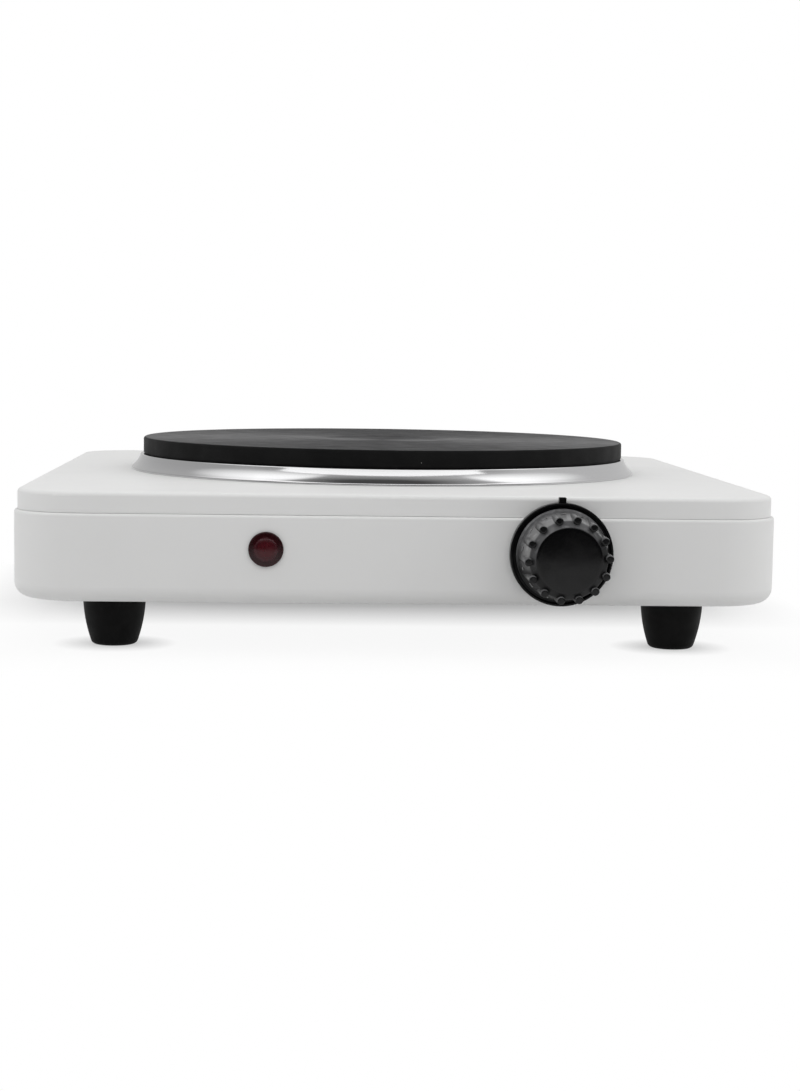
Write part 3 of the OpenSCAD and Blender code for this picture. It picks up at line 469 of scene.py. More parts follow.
def specks_effect():
    """Sparse small specks, such as lint or chips in a coating."""
    tree, build, given, out = effect(
        "specks",
        [("Vector", VECTOR, None), ("Spacing", FLOAT, 0.01), ("Speck Size", FLOAT, 0.05),
         ("Share", FLOAT, 0.2)],
        [("Mask", FLOAT)],
    )
    scale = build.maths("DIVIDE", 1.0, given["Spacing"])
    cells = build.add("ShaderNodeTexVoronoi", Vector=given["Vector"], Scale=scale)
    chosen = build.add("ShaderNodeSeparateColor", Color=cells.outputs["Color"])
    size = build.times(given["Speck Size"], chosen.outputs[1])
    near = build.maths("LESS_THAN", cells.outputs["Distance"], size)
    some = build.maths("LESS_THAN", chosen.outputs[0], given["Share"])
    build.feed(out["Mask"], build.times(near, some))
    return tree


def smudge_effect():
    """Soft patches where a handled or wiped surface is duller."""
    tree, build, given, out = effect(
        "smudges",
        [("Vector", VECTOR, None), ("Patch Size", FLOAT, 0.02), ("Amount", FLOAT, 0.1)],
        [("Roughness Added", FLOAT), ("Mask", FLOAT)],
    )
    scale = build.maths("DIVIDE", 1.0, given["Patch Size"])
    patch = build.add("ShaderNodeTexNoise", Vector=given["Vector"], Scale=scale, Detail=3.0,
                      Distortion=0.6)
    mask = build.span(patch.outputs[0], 0.48, 0.7, 0.0, 1.0)
    build.feed(out["Mask"], mask)
    build.feed(out["Roughness Added"], build.times(mask, given["Amount"]))
    return tree


EFFECT_MAKERS = {
    "fine_grain": fine_grain_effect,
    "turning_lines": turning_effect,
    "specks": specks_effect,
    "smudges": smudge_effect,
}
EFFECTS = {}


def place_effect(build, name, **inputs):
    """Places a shared effect in a finish with its own values."""
    if name not in EFFECTS:
        EFFECTS[name] = EFFECT_MAKERS[name]()
    return build.add("ShaderNodeGroup", {"node_tree": EFFECTS[name]}, **inputs).outputs


def grained(build, vector, size, softness, low, high):
    """Fine grain of this size, with roughness that wanders between low and high."""
    return place_effect(build, "fine_grain", Vector=vector, Grain_Size=size, Softness=softness,
                        Roughness_Low=low, Roughness_High=high)


def smudged(build, vector, size, amount):
    """Soft patches of this size that add up to this much roughness."""
    return place_effect(build, "smudges", Vector=vector, Patch_Size=size, Amount=amount)


def specked(build, vector, spacing, size, share):
    """Specks this far apart. Their size is a part of the spacing, and a share of them shows."""
    return place_effect(build, "specks", Vector=vector, Spacing=spacing, Speck_Size=size, Share=share)


# ---------- Finishes ----------


def new_finish(name, centre=(0, 0, 0)):
    """An empty finish: its node builder, its shader and a vector centred on a piece."""
    material = bpy.data.materials.new(name)
    material.use_nodes = True
    build = Nodes(material.node_tree)
    shader = material.node_tree.nodes["Principled BSDF"]
    where = build.add("ShaderNodeTexCoord")
    mapping = build.add("ShaderNodeMapping", {"vector_type": "TEXTURE"},
                        Vector=where.outputs["Object"], Location=centre)
    return material, build, shader, mapping.outputs[0]


def bump(build, shader, height, depth):
    """Feeds a height, in metres at full value, to the shader's normal."""
    node = build.add("ShaderNodeBump", Height=height, Distance=depth)
    build.fill(shader, Normal=node.outputs[0])


def tint(rgb, factor=1.0):
    return (*(c * factor for c in rgb), 1.0)


def enamel_finish():
    """White stove enamel with a faint orange peel and wiped patches."""
    rgb = bpy.context.scene.hot_plate_colours.enamel
    material, build, shader, vector = new_finish("stove_enamel")
    peel = grained(build, vector, 2.4 * MM, 0.35, 0.34, 0.42)
    wipe = smudged(build, vector, 60 * MM, 0.06)
    build.fill(shader, Base_Color=build.blend(wipe["Mask"], tint(rgb), tint(rgb, 0.985)),
               Roughness=build.plus(peel["Roughness"], wipe["Roughness Added"]),
               Specular_IOR_Level=0.04)
    bump(build, shader, peel["Height"], 0.012 * MM)
    return material


def iron_finish():
    """Black-coated iron: lathe lines on top and a duller rim, with the top painted lighter than the rim as
    a painted sheen.
    """
    rgb = bpy.context.scene.hot_plate_colours.iron
    material, build, shader, vector = new_finish("coated_iron", PLATE_AXIS)
    lines = place_effect(build, "turning_lines", Vector=vector, Pitch=0.9 * MM, Waver=0.8)
    grain = grained(build, vector, 0.5 * MM, 0.7, 0.42, 0.56)
    lint = specked(build, vector, 9 * MM, 0.04, 0.1)
    top = build.span(build.facing()[2], 0.85, 0.98, 0.0, 1.0)
    # Painted sheen: the top's colour is raised 2.5 to 4.7 times with the lathe lines' tone, and the rim's
    # is lowered to 0.35.
    shade = build.span(top, 0.0, 1.0, 0.35, build.span(lines["Shade"], 0.3, 0.7, 2.5, 4.7))
    lathe_tone_and_painted_sheen = build.add("ShaderNodeVectorMath", {"operation": "SCALE"}, Vector=tuple(rgb), Scale=shade)
    build.fill(shader, Base_Color=build.blend(lint["Mask"], lathe_tone_and_painted_sheen.outputs[0], (0.3, 0.3, 0.29, 1)),
               Roughness=build.plus(grain["Roughness"], build.span(top, 0.0, 1.0, 0.3, 0.0)),
               Specular_IOR_Level=0.26, Anisotropic=0.6, Anisotropic_Rotation=0.25)
    relief = build.plus(build.times(lines["Height"], top), build.times(grain["Height"], 0.5))
    bump(build, shader, relief, 0.03 * MM)
    round_way = build.add("ShaderNodeTangent", {"direction_type": "RADIAL", "axis": "Z"})
    build.fill(shader, Tangent=round_way.outputs[0])
    return material


def polished_finish():
    """Polished steel with fine turning lines and wiped patches."""
    rgb = bpy.context.scene.hot_plate_colours.steel
    material, build, shader, vector = new_finish("polished_steel", PLATE_AXIS)
    lines = place_effect(build, "turning_lines", Vector=vector, Pitch=0.25 * MM, Waver=1.0)
    wipe = smudged(build, vector, 25 * MM, 0.08)
    build.fill(shader, Base_Color=build.blend(lines["Shade"], tint(rgb, 0.94), tint(rgb, 1.04)),
               Roughness=build.plus(wipe["Roughness Added"], 0.12), Metallic=1.0)
    bump(build, shader, lines["Height"], 0.0012 * MM)
    return material


def plastic_finish(name, rough):
    """Black moulded plastic with lint specks and handled patches."""
    rgb = bpy.context.scene.hot_plate_colours.plastic
    material, build, shader, vector = new_finish(name)
    grain = grained(build, vector, 1.2 * MM, 0.5, rough, rough + 0.07)
    wipe = smudged(build, vector, 8 * MM, 0.08)
    lint = specked(build, vector, 2.5 * MM, 0.05, 0.1)
    build.fill(shader, Base_Color=build.blend(lint["Mask"], tint(rgb), (0.12, 0.12, 0.12, 1)),
               Roughness=build.plus(grain["Roughness"], wipe["Roughness Added"]),
               Specular_IOR_Level=0.12)
    bump(build, shader, grain["Height"], 0.004 * MM)
    return material


def numeral_finish():
    """Light grey paint on the raised numbers, worn in patches."""
    material, build, shader, vector = new_finish("number_paint")
    grain = grained(build, vector, 0.6 * MM, 0.6, 0.4, 0.55)
    wear = smudged(build, vector, 2 * MM, 0.1)
    build.fill(shader, Base_Color=build.blend(wear["Mask"], (0.3, 0.3, 0.3, 1), (0.1, 0.1, 0.1, 1)),
               Roughness=grain["Roughness"])
    return material


def knob_finish():
    """Black plastic, glossy on the face and satin on the cone, with lint specks and a painted pale sheen in
    blotches on the side facing up and left.
    """
    rgb = bpy.context.scene.hot_plate_colours.plastic
    material, build, shader, vector = new_finish("knob_plastic", DIAL_CENTRE)
    grain = grained(build, vector, 0.9 * MM, 0.6, 0.0, 0.08)
    wipe = smudged(build, vector, 7 * MM, 0.08)
    lint = specked(build, vector, 1.6 * MM, 0.09, 0.2)
    blotch = smudged(build, vector, 2.6 * MM, 1.0)
    ways = build.facing()
    cone = build.span(ways[1], -0.6, -0.3, 0.0, 1.0)
    off_face = build.span(ways[1], -0.95, -0.8, 0.0, 1.0)
    # The lit side faces up and a little to the left, where the light falls.
    lit_side = build.maths("MULTIPLY_ADD", ways[0], -0.35, ways[2])
    upper = build.span(lit_side, 0.0, 0.6, 0.0, 0.85)
    # Painted sheen: pale grey in blotches on the lit side, everywhere but the face.
    painted_sheen = build.times(upper, off_face, build.span(blotch["Mask"], 0.1, 0.9, 0.55, 1.0))
    lint_and_painted_sheen = build.maths("MAXIMUM", painted_sheen, build.times(lint["Mask"], off_face))
    low_side = build.times(off_face, build.span(lit_side, -0.3, 0.2, 0.4, 0.0))
    base = build.plus(build.span(cone, 0.0, 1.0, 0.1, 0.34), low_side)
    rough = build.plus(grain["Roughness"], base, wipe["Roughness Added"])
    satin = build.times(cone, build.span(lit_side, 0.0, 0.4, 0.0, 1.0))
    glossy = build.span(off_face, 0.0, 1.0, 0.1, 0.0)
    # The pale grey is painted sheen on the lit side, plus real lint in the specks.
    build.fill(shader, Base_Color=build.blend(lint_and_painted_sheen, tint(rgb), (0.2, 0.2, 0.205, 1)), Roughness=rough,
               Coat_Weight=build.maths("MAXIMUM", satin, glossy), Coat_Roughness=0.22,
               Specular_IOR_Level=0.22)
    bump(build, shader, grain["Height"], 0.006 * MM)
    return material


def rubber_finish():
    """Matt black rubber with faint dust."""
    rgb = bpy.context.scene.hot_plate_colours.rubber
    material, build, shader, vector = new_finish("black_rubber")
    grain = grained(build, vector, 0.35 * MM, 0.7, 0.55, 0.7)
    dust = smudged(build, vector, 6 * MM, 0.1)
    build.fill(shader, Base_Color=build.blend(dust["Mask"], tint(rgb), tint(rgb, 1.6)),
               Roughness=grain["Roughness"], Specular_IOR_Level=0.1)
    bump(build, shader, grain["Height"], 0.02 * MM)
    return material


def lens_finish():
    """Dark red clear plastic, painted lighter in the middle and darker towards the edge as painted light
    and shade, with a painted highlight ring round its dome.
    """
    rgb = bpy.context.scene.hot_plate_colours.lens
    material, build, shader, vector = new_finish("red_lens", LAMP_CENTRE)
    grain = grained(build, vector, 1 * MM, 0.4, 0.22, 0.32)
    spot = build.parts(vector)
    radius = build.away(spot[0], spot[2])
    # Painted light and shade: the red is lighter in the middle and darker towards the edge.
    outer = build.span(radius, LAMP_R * 0.35, LAMP_R * 0.8, 0.0, 1.0)
    off_highlight_ring = build.maths("ABSOLUTE", build.maths("SUBTRACT", radius, LAMP_R * 0.62))
    # Painted highlight: a pale ring round the dome.
    painted_highlight_ring = build.span(off_highlight_ring, 0.0, LAMP_R * 0.12, 0.5, 0.0)
    red = build.blend(outer, tint(rgb, 1.3), tint(rgb, 0.45))
    build.fill(shader, Base_Color=build.blend(painted_highlight_ring, red, (0.16, 0.04, 0.055, 1)),
               Roughness=grain["Roughness"], Transmission_Weight=0.6, IOR=1.49, Specular_IOR_Level=0.02)
    bump(build, shader, grain["Height"], 0.006 * MM)
    return material


def metal_finish(name, rgb, low, high, grain_size, dull):
    """Rolled, plated or drawn metal of an inner piece."""
    material, build, shader, vector = new_finish(name)
    grain = grained(build, vector, grain_size, 0.6, low, high)
    wipe = smudged(build, vector, 12 * MM, dull)
    build.fill(shader, Base_Color=build.blend(wipe["Mask"], tint(rgb), tint(rgb, 0.82)),
               Roughness=build.plus(grain["Roughness"], wipe["Roughness Added"]), Metallic=1.0)
    bump(build, shader, grain["Height"], 0.01 * MM)
    return material


def covering_finish(name, rgb, low, high, grain_size, depth):
    """Ceramic, powder, nylon or wire covering of an inner piece."""
    material, build, shader, vector = new_finish(name)
    grain = grained(build, vector, grain_size, 0.6, low, high)
    marks = specked(build, vector, 1.5 * MM, 0.12, 0.25)
    build.fill(shader, Base_Color=build.blend(marks["Mask"], tint(rgb), tint(rgb, 0.8)),
               Roughness=grain["Roughness"])
    bump(build, shader, grain["Height"], depth)
    return material


def wire_finish(name, rgb):
    return covering_finish(name, rgb, 0.4, 0.5, 1 * MM, 0.01 * MM)


def bulb_finish():
    """Clear glass, faintly warm."""
    material, build, shader, vector = new_finish("bulb_glass")
    grain = grained(build, vector, 2 * MM, 0.4, 0.02, 0.06)
    build.fill(shader, Base_Color=(0.95, 0.86, 0.8, 1), Roughness=grain["Roughness"],
               Transmission_Weight=1.0, IOR=1.5)
    return material


# Each slot of an inner piece, with its finish and the values that the finish takes.
INNER_FINISHES = {
    "white_enamel": (enamel_finish,),
    "sheet_steel": (metal_finish, "rolled_steel", (0.52, 0.53, 0.54), 0.28, 0.4, 0.6 * MM, 0.15),
    "zinc_plated_steel": (metal_finish, "zinc_plate", (0.5, 0.52, 0.55), 0.3, 0.45, 0.4 * MM, 0.2),
    "resistance_wire": (metal_finish, "resistance_wire", (0.3, 0.27, 0.24), 0.4, 0.6, 1.2 * MM, 0.15),
    "brass": (metal_finish, "plain_brass", (0.72, 0.5, 0.2), 0.22, 0.36, 0.6 * MM, 0.15),
    "pressed_magnesia": (covering_finish, "pressed_magnesia", (0.72, 0.69, 0.62), 0.85, 0.95,
                         0.5 * MM, 0.08 * MM),
    "ceramic": (covering_finish, "steatite", (0.78, 0.75, 0.68), 0.5, 0.65, 0.4 * MM, 0.02 * MM),
    "natural_plastic": (covering_finish, "natural_nylon", (0.72, 0.7, 0.63), 0.4, 0.5,
                        0.8 * MM, 0.008 * MM),
    "brown_wire": (wire_finish, "brown_covering", (0.14, 0.05, 0.02)),
    "black_wire": (wire_finish, "black_covering", (0.02, 0.02, 0.02)),
    "blue_wire": (wire_finish, "blue_covering", (0.03, 0.1, 0.4)),
    "green_wire": (wire_finish, "green_covering", (0.08, 0.3, 0.06)),
    "grey_wire": (wire_finish, "grey_covering", (0.3, 0.3, 0.31)),
    "bulb_glass": (bulb_finish,),
}


# ---------- Pieces ----------


class HOTPLATE_OT_cooking_plate(bpy.types.Operator):
    """Turns the coated iron plate with its rim, shallow middle and coil grooves"""

    bl_idname = "hotplate.cooking_plate"
    bl_label = "Cooking Plate"

    def execute(self, context):
        sizes = context.scene.hot_plate_sizes
        under, top = PLATE_LOW.z, PLATE_HIGH.z
        groove = top - 5.2 * MM
        stud_r, stud_top = 3.1 * MM, under + 8.6 * MM
        hub_r, rib_in, rib_out = 22 * MM, 48 * MM, 52 * MM
        wall_out = PLATE_R - 9.5 * MM
        wall_in = wall_out - 5 * MM
        floor_r = sizes.recess_radius - 4 * MM
        floor_z = top - sizes.recess_depth
        outline = [
            (stud_r, stud_top), (stud_r, under), (hub_r, under), (hub_r, groove),
            (rib_in, groove), (rib_in, under), (rib_out, under), (rib_out, groove),
            (wall_in, groove), (wall_in, under), (wall_out, under), (wall_out, RIM_UNDER),
            (PLATE_R, RIM_UNDER), (PLATE_R, top), (sizes.recess_radius, top),
            (floor_r, floor_z), (2 * MM, floor_z),
        ]
        plate = turned("cooking_plate", outline, steps=192)
        round_ring(plate, PLATE_R, top, sizes.rim_rounding, 6)
        round_ring(plate, PLATE_R, RIM_UNDER, sizes.rim_rounding, 6)
        round_ring(plate, sizes.recess_radius, top, 1.5 * MM, 3)
        round_ring(plate, floor_r, floor_z, 1.5 * MM, 3)
        place(plate, PLATE_AXIS)
        smooth(plate)
        finished(plate, "body", "cast_iron", iron_finish(), "hot_plate")
        return {"FINISHED"}


class HOTPLATE_OT_trim_ring(bpy.types.Operator):
    """Turns the steel ring: a shelf under the plate's rim, a hollow side and a rolled toe"""

    bl_idname = "hotplate.trim_ring"
    bl_label = "Trim Ring"

    def execute(self, context):
        sizes = context.scene.hot_plate_sizes
        gauge, roll_r, hollow_r = sizes.ring_gauge, sizes.toe_roll, 9.5 * MM
        lip, sunk = 1.3 * MM, 0.45 * MM
        shelf = RIM_UNDER
        shoulder = Vector((PLATE_R + lip - gauge, shelf - gauge))
        roll = Vector((RING_TOE_R - roll_r, COVER_TOP + roll_r - sunk))
        centre = between(roll, hollow_r + roll_r, shoulder, hollow_r + gauge)
        upper = heading(centre, shoulder)
        lower = heading(centre, roll)
        outline = [Vector((RING_BORE_R, shelf))]
        outline += arc(shoulder, gauge, math.radians(90), upper - math.pi, 6)
        outline += arc(centre, hollow_r, upper, lower, 18)[1:]
        outline += arc(roll, roll_r, lower - math.pi, math.radians(-180), 14)[1:]
        outline += arc(centre, hollow_r + gauge, lower - 0.02, upper, 12)
        outline += [Vector((shoulder.x, shelf - gauge)), Vector((RING_BORE_R, shelf - gauge))]
        for point in outline:
            point.y = max(point.y, COVER_TOP)
        ring = turned("steel_trim_ring", outline, steps=192, closed=True)
        place(ring, PLATE_AXIS)
        smooth(ring, 50)
        finished(ring, "body", "polished_steel", polished_finish(), "trim_ring")
        return {"FINISHED"}


class HOTPLATE_OT_feet(bpy.types.Operator):
    """Turns one rubber foot and sets four copies of it under the pan"""

    bl_idname = "hotplate.feet"
    bl_label = "Feet"

    def execute(self, context):
        edge = context.scene.hot_plate_sizes.foot_edge
        taper = 3.1 * MM
        side_r = (FOOT_H ** 2 / taper + taper) / 2
        steps = 10
        wall = []
        for i in range(steps + 1):
            z = FOOT_H * i / steps
            wall.append((FOOT_R - side_r + math.sqrt(side_r ** 2 - (FOOT_H - z) ** 2), z))
        screw_r, head_r, seat = 2.25 * MM, 4.2 * MM, 8 * MM
        bore = [(screw_r, FOOT_H), (screw_r, seat), (head_r, seat), (head_r, 0)]
        foot = turned("foot", bore + wall, steps=96, closed=True)
        round_ring(foot, wall[0][0], 0, edge, 5)
        round_ring(foot, head_r, 0, 0.3 * MM, 2)
        round_ring(foot, FOOT_R, FOOT_H, 0.25 * MM, 2)
        smooth(foot, 40)
        finish = rubber_finish()
        for side in ("front_left", "front_right", "rear_left", "rear_right"):
            node = "foot_" + side
            copy = copied(foot)
            copy.name = copy.data.name = "rubber_foot_" + side
            spot = middle(node)
            place(copy, (spot.x, spot.y, 0))
            finished(copy, "body", "black_rubber", finish, node)
        bpy.data.objects.remove(foot)
        return {"FINISHED"}


class HOTPLATE_OT_dial_bezel(bpy.types.Operator):
    """Turns the dial's black ring and joins its index tab at the top"""

    bl_idname = "hotplate.dial_bezel"
    bl_label = "Dial Bezel"

    def execute(self, context):
        back, disc, rim = 0.0, 1.8 * MM, 3.2 * MM
        hole_r, inner = 3.6 * MM, BEZEL_R - 1 * MM
        outline = [(hole_r, back), (hole_r, disc), (inner, disc), (inner, rim), (BEZEL_R, rim),
                   (BEZEL_R, back)]
        bezel = turned("dial_ring", outline, steps=128, closed=True)
        round_ring(bezel, inner, rim, 0.3 * MM, 3)
        round_ring(bezel, BEZEL_R, rim, 0.45 * MM, 4)
        tab_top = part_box("dial_bezel")[1].z - DIAL_CENTRE.z
        tab_width, tab_depth = 2.4 * MM, 2.3 * MM
        start_clean()
        bpy.ops.mesh.primitive_cube_add(
            size=1, scale=(tab_width, tab_top - inner, tab_depth),
            location=(0, (tab_top + inner) / 2, tab_depth / 2))
        tab = context.object
        bpy.ops.object.transform_apply()
        modify(tab, "BEVEL", width=0.22 * MM, segments=3, limit_method="ANGLE")
        combine(bezel, tab, "UNION")
        place(bezel, DIAL_CENTRE, TO_FRONT)
        smooth(bezel)
        finished(bezel, "body", "black_plastic", plastic_finish("glossy_black_plastic", 0.16), "dial_bezel")
        return {"FINISHED"}


def grip_ribs(grip_r, count):
    """The upright ribs round the cone, made as one piece."""
    rib_r, low, high = 1.35 * MM, 5 * MM, KNOB_REACH - 0.4 * MM
    start_clean()
    bpy.ops.mesh.primitive_cylinder_add(
        vertices=28, radius=rib_r, depth=high - low, location=(0, 0, (high + low) / 2))
    rib = bpy.context.object
    bpy.ops.object.transform_apply()
    round_ring(rib, rib_r, high, 0.6 * MM, 5)
    place(rib, (grip_r + 0.35 * MM, 0, 0))
    ribs = [rib]
    for i in range(1, count):
        copy = copied(rib)
        place(copy, (0, 0, 0), (0, 0, 2 * math.pi * i / count))
        ribs.append(copy)
    joined(ribs)
    place(rib, (0, 0, 0), (0, 0, RIB_TURN))
    return rib


class HOTPLATE_OT_knob(bpy.types.Operator):
    """Turns the knob's skirt and cone, and joins the ribs that stand out of the cone"""

    bl_idname = "hotplate.knob"
    bl_label = "Knob"

    def execute(self, context):
        sizes = context.scene.hot_plate_sizes
        face_r, grip_r, crown = sizes.face_radius, sizes.grip_radius, sizes.face_crown
        back = PAN_LOW.y - KNOB_HIGH.y
        bevel_z = KNOB_REACH - sizes.bevel_depth
        face_z = KNOB_REACH - crown
        bore_r, bore_end = 3.1 * MM, 16.3 * MM
        hub_r, hollow_r, hollow_end = 6.2 * MM, 10.6 * MM, 7 * MM
        outline = [
            (bore_r, bore_end), (bore_r, back), (hub_r, back), (hub_r, hollow_end),
            (hollow_r, hollow_end), (hollow_r, back), (SKIRT_R - 0.1 * MM, back),
            (SKIRT_R, SKIRT_EDGE_Z), tuple(CONE_FOOT), (grip_r, bevel_z), (face_r, face_z),
        ]
        knob = turned("knob_body", outline + crowned(face_r, KNOB_REACH, crown), steps=168)
        round_ring(knob, SKIRT_R, SKIRT_EDGE_Z, 0.2 * MM, 3)
        round_ring(knob, *CONE_FOOT, 0.25 * MM, 3)
        round_ring(knob, grip_r, bevel_z, 0.5 * MM, 4)
        round_ring(knob, face_r, face_z, 0.4 * MM, 4)
        combine(knob, grip_ribs(grip_r, sizes.rib_count), "UNION")
        place(knob, DIAL_CENTRE, TO_FRONT)
        smooth(knob)
        finished(knob, "dial", "black_plastic", knob_finish(), "knob")
        return {"FINISHED"}


def crowned(radius, reach, crown):
    """The outline of a gently crowned face, from near its edge to near its middle."""
    dome_r = (radius ** 2 + crown ** 2) / (2 * crown)
    face = []
    for k in (0.9, 0.75, 0.6, 0.45, 0.3, 0.15, 0.04):
        r = radius * k
        face.append((r, reach - dome_r + math.sqrt(dome_r ** 2 - r ** 2)))
    return face


class HOTPLATE_OT_dial_numbers(bpy.types.Operator):
    """Raises the numbers 0 to 9 between the knob's ribs"""

    bl_idname = "hotplate.dial_numbers"
    bl_label = "Dial Numbers"

    def execute(self, context):
        sizes = context.scene.hot_plate_sizes
        cone_top = Vector((sizes.grip_radius, KNOB_REACH - sizes.bevel_depth))
        lean = math.atan2(CONE_FOOT.x - cone_top.x, cone_top.y - CONE_FOOT.y)
        radius, reach = CONE_FOOT.lerp(cone_top, sizes.numeral_place)
        pitch = 2 * math.pi / sizes.rib_count
        flat = Matrix(((1, 0, 0), (0, 0, -1), (0, 1, 0))).to_4x4()
        upright = Matrix.Rotation(math.radians(-90), 4, "X") @ flat
        tilt = Matrix.Rotation(-lean, 4, "X")
        out = Matrix.Translation((0, -reach, radius))
        digits = []
        for i in range(10):
            start_clean()
            bpy.ops.object.text_add()
            digit = context.object
            digit.data.body = str(i)
            digit.data.size = sizes.numeral_height / FIGURE_SHARE
            digit.data.extrude = sizes.numeral_relief
            digit.data.align_x = "CENTER"
            digit.data.align_y = "CENTER"
            digit.data.resolution_u = 3
            bpy.ops.object.convert(target="MESH")
            around = Matrix.Rotation((3 - i) * pitch - RIB_TURN, 4, "Y")
            digit.matrix_world = Matrix.Translation(DIAL_CENTRE) @ around @ out @ tilt @ upright
            bpy.ops.object.transform_apply()
            digits.append(digit)
        numbers = joined(digits)
        numbers.name = numbers.data.name = "dial_numbers"
        smooth(numbers, 30)
        finished(numbers, "dial", "black_plastic", numeral_finish())
        return {"FINISHED"}


class HOTPLATE_OT_indicator_lamp(bpy.types.Operator):
    """Turns the indicator's red lens with its flange, dome and hollow neck"""

    bl_idname = "hotplate.indicator_lamp"
    bl_label = "Indicator Lamp"

    def execute(self, context):
        bore_r, neck_r, neck_end = 3.2 * MM, 4 * MM, -10 * MM
        flange, dome_r, dome_foot, dome_top = 1 * MM, 3.8 * MM, 1.5 * MM, 2.3 * MM
        outline = [(bore_r, 0), (bore_r, neck_end), (neck_r, neck_end), (neck_r, 0), (LAMP_R, 0),
                   (LAMP_R, flange), (dome_r, flange), (dome_r, dome_foot)]
        dome = crowned(dome_r, dome_top, dome_top - dome_foot)
        lens = turned("lamp_lens", outline + dome, steps=96)
        round_ring(lens, LAMP_R, flange, 0.45 * MM, 4)
        round_ring(lens, dome_r, dome_foot, 0.2 * MM, 3)
        round_ring(lens, dome_r, flange, 0.15 * MM, 2)
        place(lens, LAMP_CENTRE, TO_FRONT)
        smooth(lens)
        finished(lens, "body", "red_lens", lens_finish(), "indicator_lens")
        return {"FINISHED"}


class HOTPLATE_OT_cord_gland(bpy.types.Operator):
    """Turns the cord gland in the rear wall"""

    bl_idname = "hotplate.cord_gland"
    bl_label = "Cord Gland"

    def execute(self, context):
        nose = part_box("cord_gland")[1].y - PAN_HIGH.y
        bore_r, nose_r, shank_r = 3.6 * MM, 5.6 * MM, 6.4 * MM
        collar_r, collar = 8.5 * MM, 2.5 * MM
        neck_r, lip_r, wall_in, lip_end = 5.9 * MM, 7.2 * MM, -0.8 * MM, -2.8 * MM
        outline = [(bore_r, lip_end), (bore_r, nose), (nose_r, nose), (shank_r, collar),
                   (collar_r, collar), (collar_r, 0), (neck_r, 0), (neck_r, wall_in),
                   (lip_r, wall_in), (lip_r, lip_end)]
        gland = turned("rear_gland", outline, steps=96, closed=True)
        round_ring(gland, bore_r, nose, 0.4 * MM, 3)
        round_ring(gland, nose_r, nose, 0.5 * MM, 4)
        round_ring(gland, collar_r, collar, 0.6 * MM, 4)
        round_ring(gland, shank_r, collar, 0.3 * MM, 2)
        place(gland, GLAND_CENTRE, TO_REAR)
        smooth(gland)
        finished(gland, "body", "black_plastic", plastic_finish("gland_plastic", 0.4), "cord_gland")
        return {"FINISHED"}


class HOTPLATE_OT_sheet_and_inner_parts(bpy.types.Operator):
    """Gives the pressed body and every inner piece its finish"""

    bl_idname = "hotplate.sheet_and_inner_parts"
    bl_label = "Body and Inner Parts"

    def execute(self, context):
        made = {}
        for part in frame["record"]["subparts"]:
            node = frame["nodes"][part["node"]]
            slot = part["material_slot"]
            if node.hide_render:
                continue
            if slot not in made:
                finish, *values = INNER_FINISHES[slot]
                made[slot] = finish(*values)
            coat(node, made[slot])
        return {"FINISHED"}


# ---------- Studio ----------


CAMERA_SPOT = (-0.03561, -0.79345, 0.10135)
CAMERA_YAW, CAMERA_PITCH, CAMERA_ROLL = (math.radians(angle) for angle in (3.04, 5.51, 0.85))


def floor_finish(rgb):
    """Pale floor with the object's shadow, mixed into plain white.

    Only the camera, metal and glass see the white. It is full from a short way outside the body,
    nearly full under its front, faint under its rear, and weaker round each foot. From below, the
    camera sees through the floor.
    """
    front_white, rear_white, foot_white = 0.93, 0.35, 0.55
    material = bpy.data.materials.new("pale_floor")
    material.use_nodes = True
    build = Nodes(material.node_tree)
    build.tree.nodes.clear()
    matt = build.add("ShaderNodeBsdfDiffuse", Color=tint(rgb)).outputs[0]
    white = build.add("ShaderNodeEmission", Color=(1, 1, 1, 1), Strength=1.0).outputs[0]
    clear = build.add("ShaderNodeBsdfTransparent").outputs[0]
    rays = build.add("ShaderNodeLightPath").outputs
    half = (PAN_HIGH - PAN_LOW) / 2
    spot = build.add("ShaderNodeMapping", {"vector_type": "TEXTURE"},
                     Vector=build.add("ShaderNodeTexCoord").outputs["Object"],
                     Location=(PAN_MIDDLE.x, PAN_MIDDLE.y, 0))
    aside, back = build.parts(spot.outputs[0])[:2]
    from_middle = [build.maths("ABSOLUTE", side) for side in (aside, back)]
    beyond = [build.maths("MAXIMUM", build.maths("SUBTRACT", side, reach), 0.0)
              for side, reach in zip(from_middle, (half.x, half.y))]
    behind_front = build.plus(back, half.y)
    under = build.span(behind_front, 75 * MM, 142 * MM, front_white, rear_white)
    share = build.span(build.away(*beyond), 0.0, 40 * MM, under, 1.0)
    off_foot = [build.maths("SUBTRACT", side, foot) for side, foot in zip(from_middle, FOOT_SPOT)]
    by_foot = build.span(build.away(*off_foot), FOOT_R * 0.6, FOOT_R * 2, foot_white, 1.0)
    mirrored = build.maths("MAXIMUM", rays["Is Glossy Ray"], rays["Is Transmission Ray"])
    seen = build.maths("MAXIMUM", rays["Is Camera Ray"], mirrored)
    shown = build.choose(build.times(seen, share, by_foot), matt, white)
    from_below = build.add("ShaderNodeNewGeometry").outputs["Backfacing"]
    below = build.times(from_below, rays["Is Camera Ray"])
    build.add("ShaderNodeOutputMaterial", Surface=build.choose(below, shown, clear))
    return material


def softbox(name, spot, width, height, power, mirrored=True):
    """A rectangular area light that looks at the hot plate. Gloss shows it only if mirrored."""
    start_clean()
    bpy.ops.object.light_add(type="AREA", location=spot)
    light = bpy.context.object
    light.name = name
    light.data.shape = "RECTANGLE"
    light.data.size = width
    light.data.size_y = height
    light.data.energy = power
    aim = Vector((0, 0, COVER_TOP)) - Vector(spot)
    light.rotation_euler = aim.to_track_quat("-Z", "Y").to_euler()
    light.visible_camera = False
    light.visible_glossy = mirrored


